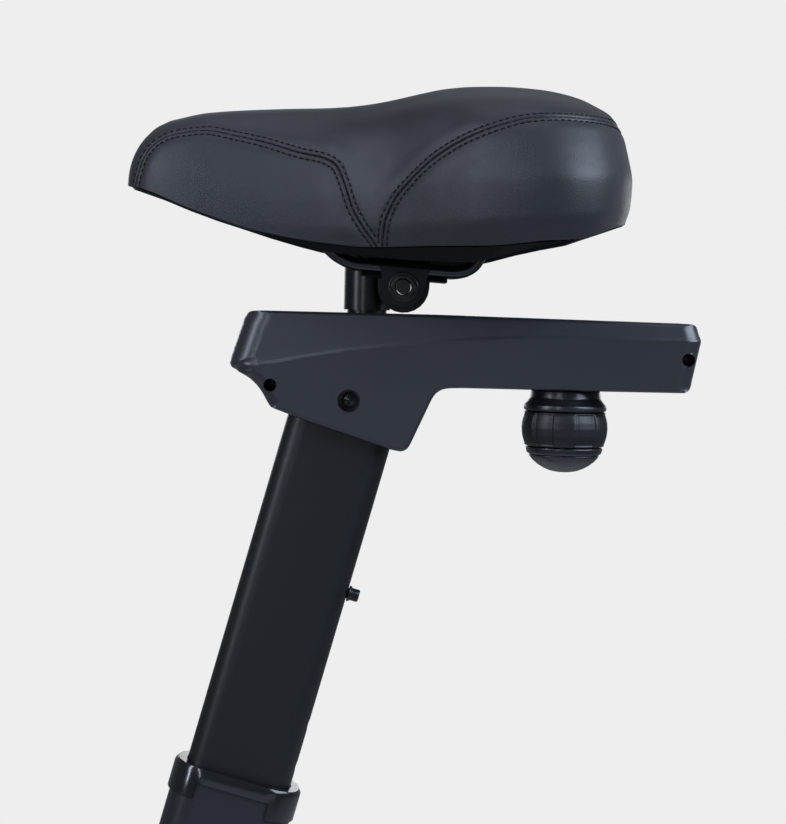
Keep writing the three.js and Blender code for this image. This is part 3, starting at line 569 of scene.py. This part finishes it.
def saddle_cover():
    """The cover's mesh made fine along the seams, sunk there by the relief, and cut into its panels."""
    work = bmesh.new()
    made = [work.verts.new(p) for p in FORM.points]
    for face in FORM.faces:
        work.faces.new([made[i] for i in face])
    bmesh.ops.remove_doubles(work, verts=work.verts, dist=0.02)
    for _ in range(2):
        coordinates = np.array([v.co for v in work.verts])
        near = seam_band(coordinates)
        edges = [e for e in work.edges if near[e.verts[0].index] or near[e.verts[1].index]]
        edges = [e for e in edges if e.calc_length() > FINE_EDGE]
        bmesh.ops.subdivide_edges(work, edges=edges, cuts=1, use_grid_fill=True)
        work.verts.index_update()
    bmesh.ops.triangulate(work, faces=[f for f in work.faces if len(f.verts) > 4])
    work.verts.index_update()
    points = np.array([v.co for v in work.verts])
    levels = {name: side_distance(name, points[:, 0], points[:, 2]) for name in PANELS}
    for name, level in levels.items():
        for edge in work.edges:
            a, b = (v.index for v in edge.verts)
            if (level[a] > 0) != (level[b] > 0):
                share = level[a] / (level[a] - level[b])
                meeting = points[a] * (1 - share) + points[b] * share
                nearer = a if abs(level[a]) < abs(level[b]) else b
                if min(abs(level[a]), abs(level[b])) < 0.4 * abs(level[a] - level[b]):
                    points[nearer] = meeting
                    level[nearer] = 0.0
    for vert, place in zip(work.verts, points):
        vert.co = place
    work.normal_update()
    if sum(v.normal.z for v in work.verts if v.co.z > 100) < 0:
        bmesh.ops.reverse_faces(work, faces=work.faces)
        work.normal_update()
    relief = seam_relief(gap_to_lines(points, FORM.seams))
    for vert, height in zip(work.verts, relief):
        vert.co += vert.normal * float(height)
    panel_of = {}
    for face in work.faces:
        ids = [v.index for v in face.verts]
        panel_of[face.index] = "top"
        for name, level in levels.items():
            if level[ids].sum() > 0:
                panel_of[face.index] = name
    for name, node in COVER_NODES.items():
        pieces_of_cover(work, panel_of, name, node)
    work.free()


def pieces_of_cover(work, panel_of, panel, node):
    """One leather panel as its own piece, and the nose panel as a left one and a right one."""
    chosen = [f for f in work.faces if panel_of[f.index] == panel]
    groups = {node: chosen}
    if panel == "nose":
        groups = {
            node + "_left": [f for f in chosen if f.calc_center_median().y < 0],
            node + "_right": [f for f in chosen if f.calc_center_median().y >= 0],
        }
    for name, faces in groups.items():
        used = sorted({v.index for f in faces for v in f.verts})
        place = {v: i for i, v in enumerate(used)}
        everything = np.array([v.co for v in work.verts])
        obj = mesh_object(
            name + "_leather", at_head(everything[used]), [[place[v.index] for v in f.verts] for f in faces]
        )
        modifier = obj.modifiers.new("thickness", "SOLIDIFY")
        modifier.thickness = LEATHER_THICKNESS * MM
        modifier.offset = -1
        finish_piece(obj, "saddle", MATERIALS["cover_leather"], (name,))


def saddle_foam():
    rows = np.linspace(0, 1, 40)[:, None] * np.ones(STATIONS)[None]
    grid = np.stack([cover_points(row) for row in rows])
    inner = grid - grid_normals(grid) * 2.0
    reaches = [(0.86, 0.0, 0.4), (0.78, 0.12, 0), (0.6, 0.34, 0), (0.3, 0.44, 0), (0, 0.46, 0)]
    under = np.stack([pan_ring(reach, share, lift) for reach, share, lift in reaches])
    obj = grid_object("foam_core", at_head(np.concatenate([inner, under])), wrap=True)
    finish_piece(obj, "saddle", MATERIALS["pad_foam"], ("foam_pad",))


def pan_ring(reach, share, lift):
    """A ring on the pan's top, which the foam rests on."""
    x = spine_x(EDGE[:, 0]) + (EDGE[:, 0] - spine_x(EDGE[:, 0])) * reach
    rim = smooth_through(RIM, EDGE[:, 0])
    z = rim + share * (smooth_through(CROWN, x) - rim) + lift
    return np.stack([x, EDGE[:, 1] * reach, z], axis=1)


def stitches():
    """A row of short thread stitches on each side of every seam, and one in the joint itself."""
    material = moulded_material("thread", "#020203", "#040405", 0.8, 0.3, specular=0.15)
    points, faces = [], []
    stride = round(STITCH_PITCH / SEAM_STEP)
    for line, normal in FORM.seams:
        for i in range(4, len(line) - 4, stride):
            along = line[i + 2] - line[i - 2]
            along /= np.linalg.norm(along)
            up = normal[i] - along * normal[i].dot(along)
            up /= np.linalg.norm(up)
            across = np.cross(up, along)
            for offset in (-STITCH_OFFSET, 0.0, STITCH_OFFSET):
                sink = 0.5 if offset == 0 else 0.12
                middle = line[i] + across * offset - up * sink
                add_stitch(points, faces, middle, along, across, up)
    obj = mesh_object("cover_stitches", at_head(points), faces)
    finish_piece(obj, "saddle", material)


def add_stitch(points, faces, middle, along, across, up, sides=6):
    """One stitch as a short thread, thicker in its middle than at its ends."""
    first = len(points)
    rings = [(-0.5, 0.35), (-0.3, 0.9), (0.0, 1.1), (0.3, 0.9), (0.5, 0.35)]
    for shift, scale in rings:
        for j in range(sides):
            angle = 2 * math.pi * j / sides
            outward = (across * math.cos(angle) + up * math.sin(angle)) * THREAD_RADIUS * scale
            points.append(middle + along * shift * STITCH_LENGTH + outward)
    for i in range(len(rings) - 1):
        for j in range(sides):
            k = (j + 1) % sides
            a, b = first + i * sides, first + (i + 1) * sides
            faces.append((a + j, a + k, b + k, b + j))
    faces.append(tuple(first + j for j in reversed(range(sides))))
    faces.append(tuple(first + (len(rings) - 1) * sides + j for j in range(sides)))


# ---------------------------------------------------------------- slider housing

HOUSING = [
    (-62, 0), (40, 0), (179, -1.6), (181.8, -3.4), (184.2, -10.7), (179.2, -36.6), (175.8, -39.4),
    (131, -39.6), (53, -39.6), (44.5, -40), (40.6, -41.6), (37.8, -44.6), (26, -71.2), (24.2, -74.2),
    (21, -75.5), (14.9, -74.4),
    (-28.3, -60.8), (-50.2, -53), (-52.4, -51.4), (-57.4, -42.6), (-63, -37), (-70.7, -33), (-73.6, -31.6),
    (-74.8, -29.2), (-74.2, -26), (-67.5, -4.5), (-65.4, -1),
]
FRONT = [(-65.4, -1), (-67.5, -4.5), (-74.2, -26), (-74.8, -29.2), (-73.6, -31.6), (-70.7, -33)]
CHIN = [(-70.7, -33), (-63, -37), (-57.4, -42.6), (-52.4, -51.4)]
REAR = [(181.8, -3.4), (184.2, -10.7), (179.2, -36.6)]
CREASE = [
    (-90, -31), (-56, -29.1), (-35, -25.3), (-8, -20.5), (19, -17.1), (35, -15.4), (73, -12.5), (111, -11),
    (200, -10.8),
]
# Half the housing's width at its highest, at the crease and at its lowest.
HALF_WIDTH = {"top": 24.5, "crease": 28.0, "bottom": 24.0}
HIGHEST, LOWEST = 1.0, -80.0
# Edges of the side view that are rounded over: the line, whether it closes on itself, and the radius.
ROUNDED_EDGES = [(FRONT, False, 14.0), (CHIN, False, 7.0), (REAR, False, 9.0), (HOUSING, True, 1.8)]
# Screw holes: place, radius, and how far from the middle plane their floor is.
BORES = [(-51.6, -40.5, 3.7, 3.0), (-8.3, -48.2, 6.4, 14.0), (176.7, -21.2, 3.7, 12.0)]
SCREW_HOLE = 1.9
SLOT = (-59.0, 57.5, 12.6)  # front, rear and half width of the opening over the slider
SLOT_CORNER = 12.0
KNOB_X, KNOB_HOLE = 112.0, 11.6
POST_MOUTH, POST_HALF_WIDTH = (-44, 17), 15.6  # the opening below that the post comes through
CHIN_BOTTOM = -52
LEDGE, LEDGE_HEIGHT = 0.5, 1.5  # the side steps in by this much above the crease, over this height
JOINT = 0.15  # half the gap between the two halves
WALL = 2.6
GRID_STEP = 0.8


def nearest_on(line, points, closed=False):
    """Distance to a polyline, and the nearest point of it, for every point."""
    line = np.array(line, float)
    ends = np.roll(line, -1, axis=0) if closed else line[1:]
    starts = line if closed else line[:-1]
    best = np.full(len(points), 1e9)
    nearest = np.zeros_like(points)
    for a, b in zip(starts, ends):
        along = b - a
        share = np.clip(((points - a) @ along) / (along @ along), 0, 1)[:, None]
        foot = a + share * along
        distance = np.linalg.norm(points - foot, axis=1)
        closer = distance < best
        best = np.where(closer, distance, best)
        nearest = np.where(closer[:, None], foot, nearest)
    return best, nearest


def corners_cut(outline, passes=2):
    """The outline with its corners rounded by cutting them off again and again."""
    for _ in range(passes):
        rounded = []
        for a, b in zip(outline, np.roll(outline, -1, axis=0)):
            length = np.linalg.norm(b - a)
            cut = min(0.25, 1.2 / length)
            rounded += [a + (b - a) * cut, b + (a - b) * cut]
        outline = np.array(rounded)
    return outline


def rounding(distance, radius):
    """How far a surface has fallen away at a distance from a rounded edge."""
    gap = np.clip(radius - distance, 0, radius)
    return radius - np.sqrt(np.maximum(radius**2 - gap**2, 0))


def housing_width(points):
    """Half width of the housing's side, narrower above and below the crease and round its corners."""
    x, z = points[:, 0], points[:, 1]
    crease = smooth_through(CREASE, x)
    top, middle, bottom = HALF_WIDTH["top"], HALF_WIDTH["crease"], HALF_WIDTH["bottom"]
    above = top + (middle - top) * (HIGHEST - z) / (HIGHEST - crease)
    below = bottom + (middle - bottom) * (z - LOWEST) / (crease - LOWEST)
    step_in = LEDGE * smoothstep(z - crease, 0.0, LEDGE_HEIGHT)
    width = np.where(z > crease, above - step_in, below)
    fallen = [
        rounding(nearest_on(line, points, closed)[0], radius) for line, closed, radius in ROUNDED_EDGES
    ]
    return width - np.maximum.reduce(fallen)


def inner_edge(x, z, on_top):
    """How near the middle plane the housing's edge face comes, leaving its openings free."""
    if on_top and SLOT[0] < x < SLOT[1]:
        reach = min(x - SLOT[0], SLOT[1] - x, SLOT_CORNER)
        return SLOT[2] - SLOT_CORNER + math.sqrt(SLOT_CORNER**2 - (SLOT_CORNER - reach) ** 2)
    if not on_top and abs(x - KNOB_X) < KNOB_HOLE:
        return max(JOINT, math.sqrt(KNOB_HOLE**2 - (x - KNOB_X) ** 2))
    if not on_top and z < CHIN_BOTTOM and POST_MOUTH[0] < x < POST_MOUTH[1]:
        return POST_HALF_WIDTH
    return JOINT


def snapped_grid(outline, bores, step):
    """A grid of square cells inside an outline and outside some round holes, its border snapped to them."""
    low, high = outline.min(axis=0) - step, outline.max(axis=0) + step
    xs, zs = np.arange(low[0], high[0], step), np.arange(low[1], high[1], step)
    points = np.stack(np.meshgrid(xs, zs, indexing="ij"), axis=2).reshape(-1, 2)
    distance, nearest = nearest_on(outline, points, closed=True)
    level = np.where(inside_outline(outline, points), distance, -distance)
    for x, z, radius, _ in bores:
        offset = points - (x, z)
        far = np.linalg.norm(offset, axis=1)
        on_circle = (x, z) + offset / np.maximum(far, 1e-6)[:, None] * radius
        closer = far - radius < level
        level = np.where(closer, far - radius, level)
        nearest = np.where(closer[:, None], on_circle, nearest)
    keep = level > -0.5 * step
    snap = keep & (level < 0.5 * step)
    points = np.where(snap[:, None], nearest, points)
    count = len(zs)
    faces = []
    for i in range(len(xs) - 1):
        for j in range(count - 1):
            a = i * count + j
            cell = (a, a + 1, a + count + 1, a + count)
            kept = [k for k in cell if keep[k]]
            if len(kept) >= 3:
                faces.append(tuple(kept))
    used = sorted({k for face in faces for k in face})
    place = {k: i for i, k in enumerate(used)}
    return points[used], [tuple(place[k] for k in face) for face in faces]


def border_loops(faces):
    """Closed loops of vertex numbers round the edges that belong to one face only."""
    onward = {}
    edges = {(f[i], f[(i + 1) % len(f)]) for f in faces for i in range(len(f))}
    for a, b in edges:
        if (b, a) not in edges:
            onward[a] = b
    loops = []
    while onward:
        start, here = next(iter(onward.items()))
        loop = [start]
        del onward[start]
        while here != start and here in onward:
            loop.append(here)
            here = onward.pop(here)
        loops.append(loop)
    return loops


def housing_half(side, sign):
    """One half of the housing: its side, its screw holes' walls, and its edge face with a lip behind."""
    outline = corners_cut(np.array(HOUSING, float))
    bores = BORES if sign < 0 else []
    flat, faces = snapped_grid(outline, bores, GRID_STEP)
    crease = smooth_through(CREASE, flat[:, 0])
    free = nearest_on(outline, flat, closed=True)[0] > 0.75 * GRID_STEP
    on_crease = free & (np.abs(flat[:, 1] - crease) < 0.5 * GRID_STEP)
    flat[on_crease, 1] = crease[on_crease]
    width = housing_width(flat)
    points = [(x, sign * w, z) for (x, z), w in zip(flat, width)]
    faces = list(faces)
    for loop in border_loops(faces):
        first = points[loop[0]]
        bore = [b for b in bores if math.hypot(first[0] - b[0], first[2] - b[1]) < b[2] + 1]
        rings = [loop]
        if bore:
            x, z, radius, seat = bore[0]
            rim_y = abs(first[1])
            floor_depth = rim_y - seat
            steps = [(0.96, 0.3), (0.95, 0.8), (0.95, floor_depth), (SCREW_HOLE / radius, floor_depth)]
            for share, depth in steps:
                ring = [
                    (x + (points[k][0] - x) * share, sign * (rim_y - depth), z + (points[k][2] - z) * share)
                    for k in loop
                ]
                rings.append(range(len(points), len(points) + len(ring)))
                points += ring
        else:
            top = [points[k][2] > -WALL for k in loop]
            edge = [inner_edge(points[k][0], points[k][2], t) for k, t in zip(loop, top)]
            ring = [
                (points[k][0], sign * min(e, abs(points[k][1])), points[k][2])
                for k, e in zip(loop, edge)
            ]
            rings.append(range(len(points), len(points) + len(ring)))
            points += ring
            lip = []
            for (x, y, z), k in zip(ring, loop):
                lowest = -60 if x < 30 else -30
                toward = np.array([np.clip(x, -50, 170) - x, np.clip(z, lowest, -8) - z])
                size = max(np.linalg.norm(toward), 1e-6)
                inward = toward / size * min(WALL, size)
                lip.append((x + inward[0], y, z + inward[1]))
            rings.append(range(len(points), len(points) + len(lip)))
            points += lip
        for outer, inner in zip(rings, rings[1:]):
            outer, inner = list(outer), list(inner)
            for i in range(len(outer)):
                j = (i + 1) % len(outer)
                faces.append((outer[j], outer[i], inner[i], inner[j]))
    obj = mesh_object(f"housing_{side}_shell", at_head(points), faces)
    sharpen(obj, 50)
    finish_piece(obj, "post", MATERIALS["satin_plastic"], (f"housing_{side}",))


def sharpen(obj, angle):
    """Smooth shading that keeps edges over an angle sharp."""
    modifier = obj.modifiers.new("edges", "EDGE_SPLIT")
    modifier.split_angle = math.radians(angle)


def housing():
    housing_half("left", -1)
    housing_half("right", 1)


# ---------------------------------------------------------------- clamp knob


def lathe(name, profile, middle, sides=120, shape=None):
    """A profile of (radius, height) turned about the vertical through middle; shape changes the radius."""
    profile = np.array(profile, float)
    angles = np.linspace(0, 2 * math.pi, sides, endpoint=False)
    radius = np.repeat(profile[:, :1], sides, axis=1)
    if shape is not None:
        radius = radius + shape(angles[None], profile[:, 1:])
    x, y = middle[0] + radius * np.cos(angles), middle[1] + radius * np.sin(angles)
    grid = np.stack([x, y, np.repeat(profile[:, 1:], sides, axis=1)], axis=2)
    return grid_object(name, at_head(grid), wrap=True)


def rounded_profile(points, step=0.35):
    """A profile with its corners softened by sampling it finely and averaging."""
    p = np.array(points, float)
    run = np.concatenate([[0], np.cumsum(np.linalg.norm(np.diff(p, axis=0), axis=1))])
    at = np.arange(0, run[-1], step)
    line = np.stack([np.interp(at, run, p[:, k]) for k in (0, 1)], axis=1)
    return smoothed(np.concatenate([line, p[-1:]]), 2)


GRIP_BLOCKS = 6
BLOCK_HALF_ANGLE = math.radians(16)
BLOCK_PHASE = math.radians(94)  # turns one block towards the rider's left
BLOCK_FLANK = 0.035  # half the angle over which a block's side falls away


def grip_shape(angles, heights):
    """Raised blocks round the grip with hollows between them, both fading out at its two ends."""
    turn = 2 * math.pi / GRIP_BLOCKS
    off = np.abs((angles + BLOCK_PHASE + turn / 2) % turn - turn / 2)
    hollow = smoothstep(off, BLOCK_HALF_ANGLE - BLOCK_FLANK, BLOCK_HALF_ANGLE + BLOCK_FLANK)
    groove = np.exp(-(((off - BLOCK_HALF_ANGLE) / 0.025) ** 2))
    ends = smoothstep(heights, -71.0, -69.6) * (1 - smoothstep(heights, -53.8, -52.4))
    return -(1.0 * hollow + 0.35 * groove) * ends


def knob():
    """The ball knob's outer pieces, each turned about the knob's axis."""
    middle = (KNOB_X, 0.0)
    core = rounded_profile([
        (18.6, -40.1), (19.2, -40.3), (19.8, -44.6), (21.6, -47.2), (23.0, -48.6), (23.1, -50.9),
        (22.2, -51.8), (19.0, -51.9),
    ])
    lower = rounded_profile([
        (19.0, -71.7), (21.4, -71.9), (21.5, -72.6), (20.9, -75.0), (20.2, -75.8), (19.0, -75.9)
    ])
    grip = rounded_profile([
        (19.5, -52.1), (22.4, -52.2), (23.6, -53.8), (24.6, -57.4), (24.9, -61.0), (24.5, -65.2),
        (23.4, -69.0), (22.3, -71.0), (21.3, -71.3), (19.5, -71.4),
    ])
    cap = rounded_profile([
        (19.0, -76.0), (19.7, -76.2), (19.2, -77.4), (17.2, -79.8), (14.4, -82.0), (11.2, -83.9),
        (7.6, -85.3), (3.8, -86.0), (0.0, -86.2),
    ])
    pieces = [
        (lathe("knob_collar", core, middle), "gloss_plastic", ("knob_core",)),
        (lathe("knob_lower_ring", lower, middle), "gloss_plastic", ()),
        (lathe("knob_grip_body", grip, middle, 240, grip_shape), "grip_rubber", ("knob_grip",)),
        (lathe("knob_dome", cap, middle), "gloss_plastic", ("knob_cap",)),
    ]
    for obj, slot, nodes in pieces:
        finish_piece(obj, "clamp_knob", MATERIALS["knob_" + slot.split("_")[0]], nodes)


# ---------------------------------------------------------------- rails

RAIL_SLOPE = math.radians(3.4)
RAIL_RADIUS, RAIL_HALF, RAIL_RISE = 3.5, 22.0, 10.2


def rail_path():
    """One rail seen from the side: rising out of the clamp's straight run into the pan at both ends."""
    cos, sin = math.cos(RAIL_SLOPE), math.sin(RAIL_SLOPE)
    bolt_x, bolt_z = (BOLT.x - HEAD.x) / MM, (BOLT.z - HEAD.z) / MM
    run = [
        (bolt_x + x * cos + RAIL_RISE * sin, bolt_z - x * sin + RAIL_RISE * cos)
        for x in (-26, -21, 0, 21, 26)
    ]
    front = [(-40, 51), (-32, 44.4), (-22.4, 36), (-16.5, 31), (-10.5, 28)]
    rear = [(53.6, 24.6), (58.4, 27.6), (62.2, 34), (65.8, 42), (70.4, 53)]
    return open_curve(front + run + rear, step=1.0)


def rails():
    """Both rails as round rods swept along the path."""
    path = rail_path()
    sides = 32
    ahead = np.gradient(path, axis=0)
    ahead /= np.linalg.norm(ahead, axis=1, keepdims=True)
    angles = np.linspace(0, 2 * math.pi, sides, endpoint=False)
    for side, sign in (("left", -1), ("right", 1)):
        rings = []
        for (x, z), (dx, dz) in zip(path, ahead):
            ring = [
                (x - dz * math.cos(a) * RAIL_RADIUS, sign * RAIL_HALF + math.sin(a) * RAIL_RADIUS,
                 z + dx * math.cos(a) * RAIL_RADIUS)
                for a in angles
            ]
            rings.append(ring)
        obj = grid_object(f"rail_rod_{side}", at_head(np.array(rings)), wrap=True)
        finish_piece(obj, "saddle", MATERIALS["rail_enamel"], (f"rail_{side}",))


# ---------------------------------------------------------------- finishes of the CAD pieces


def polish(node, bevel=0.4, angle=50):
    """Smooth shading with small rounded edges on a CAD piece, left where it is."""
    obj = frame["nodes"][node]
    modifier = obj.modifiers.new("weld", "WELD")
    modifier.merge_threshold = 1e-5
    modifier = obj.modifiers.new("flat", "DECIMATE")
    modifier.decimate_type = "DISSOLVE"
    modifier.angle_limit = math.radians(1.0)
    if bevel:
        modifier = obj.modifiers.new("edges", "BEVEL")
        modifier.width = bevel * MM
        modifier.segments = 2
        modifier.limit_method = "ANGLE"
        modifier.angle_limit = math.radians(angle)
        modifier.harden_normals = False
    for polygon in obj.data.polygons:
        polygon.use_smooth = True
    modifier = obj.modifiers.new("normals", "WEIGHTED_NORMAL")
    modifier.keep_sharp = False
    return obj


# Black enamelled hardware, whatever steel the record's slot says.
DARK_HARDWARE = ("clamp_bolt", "clamp_washer_left", "clamp_washer_right", "clamp_nut_left", "clamp_nut_right")
HOUSING_SCREWS = ("housing_screw_front", "housing_screw_middle", "housing_screw_rear")


def paint_cad_nodes():
    """The material of its slot, smooth shading and rounded edges for every CAD node."""
    slots = {part["node"]: part["material_slot"] for part in frame["record"]["subparts"]}
    slots.update({node: "rail_enamel" for node in DARK_HARDWARE + HOUSING_SCREWS})
    for node, obj in frame["nodes"].items():
        obj.data.materials.clear()
        obj.data.materials.append(MATERIALS[slots[node]])
        polish(node)


# ---------------------------------------------------------------- floor, lights and camera

ROOM_LIGHT = 0.24
# Softboxes: name, place seen from the housing, width and height, power, colour.
SOFTBOXES = [
    ("rear_side", (1.6, -0.75, 0.95), (1.9, 1.5), 78, (0.88, 0.94, 1.0)),
    ("front_strip_near", (-0.5, -1.3, 0.55), (0.08, 1.5), 6, (1.0, 1.0, 1.0)),
    ("front_strip_far", (-1.15, -0.75, 0.55), (0.16, 1.5), 14, (1.0, 1.0, 1.0)),
    ("front_low", (0.3, -1.6, -0.5), (1.6, 0.5), 1.6, (0.93, 0.96, 1.0)),
    ("overhead", (-0.1, -0.1, 1.7), (1.2, 0.8), 5, (1.0, 1.0, 1.0)),
    ("behind", (0.1, 1.8, 0.08), (2.4, 0.3), 5, (1.0, 1.0, 1.0)),
]
FLOOR_RADIUS, FLOOR_GAP = 0.85, 0.0015


def area_light(name, place, aim, size, power, colour=(1, 1, 1)):
    data = bpy.data.lights.new(name, "AREA")
    data.shape = "RECTANGLE"
    data.size, data.size_y = size
    data.energy = power
    data.color = colour
    obj = bpy.data.objects.new(name, data)
    bpy.context.scene.collection.objects.link(obj)
    obj.location = place
    obj.rotation_euler = (Vector(aim) - Vector(place)).to_track_quat("-Z", "Y").to_euler()
    obj.visible_camera = False


def studio():
    """A pale room behind, and a dimmer one for the light that falls on the object, as in a studio shot."""
    world = bpy.data.worlds.new("studio")
    world.use_nodes = True
    tree = world.node_tree
    room = tree.nodes["Background"]
    room.inputs["Color"].default_value = linear("#dfe3ea")
    room.inputs["Strength"].default_value = ROOM_LIGHT
    backdrop = tree.nodes.new("ShaderNodeBackground")
    backdrop.inputs["Color"].default_value = linear("#eeeeee")
    seen = tree.nodes.new("ShaderNodeLightPath")
    mix = tree.nodes.new("ShaderNodeMixShader")
    tree.links.new(seen.outputs["Is Camera Ray"], mix.inputs["Fac"])
    tree.links.new(room.outputs["Background"], mix.inputs[1])
    tree.links.new(backdrop.outputs["Background"], mix.inputs[2])
    tree.links.new(mix.outputs["Shader"], tree.nodes["World Output"].inputs["Surface"])
    bpy.context.scene.world = world
    middle = Vector((HEAD.x, 0, HEAD.z))
    for name, place, size, power, colour in SOFTBOXES:
        area_light(name, middle + Vector(place), middle, size, power, colour)


def floor():
    """A pale disc under the part that fades out before its edge."""
    steps = 64
    middle = Vector((HEAD.x / 2, 0, -FLOOR_GAP))
    rim = [2 * math.pi * j / steps for j in range(steps)]
    points = [(0, 0, 0)] + [(FLOOR_RADIUS * math.cos(a), FLOOR_RADIUS * math.sin(a), 0) for a in rim]
    faces = [(0, j + 1, (j + 1) % steps + 1) for j in range(steps)]
    obj = mesh_object("floor", points, faces, smooth=False)
    obj.location = middle
    look = Nodes("floor_pale")
    look.set(Roughness=0.9, Specular_IOR_Level=0.1)
    tint = look.mix_colour(look.noise(6, 3), linear("#c2c2c3"), linear("#c6c6c6"))
    look.link(tint, look.shader.inputs["Base Color"])
    reach = look.tree.nodes.new("ShaderNodeVectorMath")
    reach.operation = "LENGTH"
    look.link(look.coordinates, reach.inputs[0])
    fade = look.ramp(reach.outputs["Value"], 1, 0, (FLOOR_RADIUS * 0.3, FLOOR_RADIUS * 0.98))
    look.link(fade, look.shader.inputs["Alpha"])
    obj.data.materials.append(look.material)


LENS = 91.75
CAMERA_PLACE = Vector((23.9, -1173.1, 6.2))  # from the head frame's origin, in mm
CAMERA_AHEAD = Vector((-0.0068, 0.9986, -0.052))
CAMERA_UP = Vector((-0.025, 0.0518, 0.9983))


def camera():
    """A long lens level with the slider housing, from the rider's left, as the photograph was taken."""
    data = bpy.data.cameras.new("camera")
    data.sensor_width = 36
    data.lens = LENS
    obj = bpy.data.objects.new("camera", data)
    bpy.context.scene.collection.objects.link(obj)
    forward = CAMERA_AHEAD.normalized()
    right = forward.cross(CAMERA_UP).normalized()
    up = right.cross(forward)
    turn = Matrix((right, up, -forward)).transposed().to_4x4()
    place = HEAD + CAMERA_PLACE * MM
    obj.matrix_world = Matrix.Translation(place) @ turn
    bpy.context.scene.camera = obj


# ---------------------------------------------------------------- the scene

bpy.context.scene.view_settings.view_transform = "Standard"
camera()
studio()
floor()
paint_cad_nodes()
saddle_cover()
saddle_foam()
stitches()
housing()
knob()
rails()
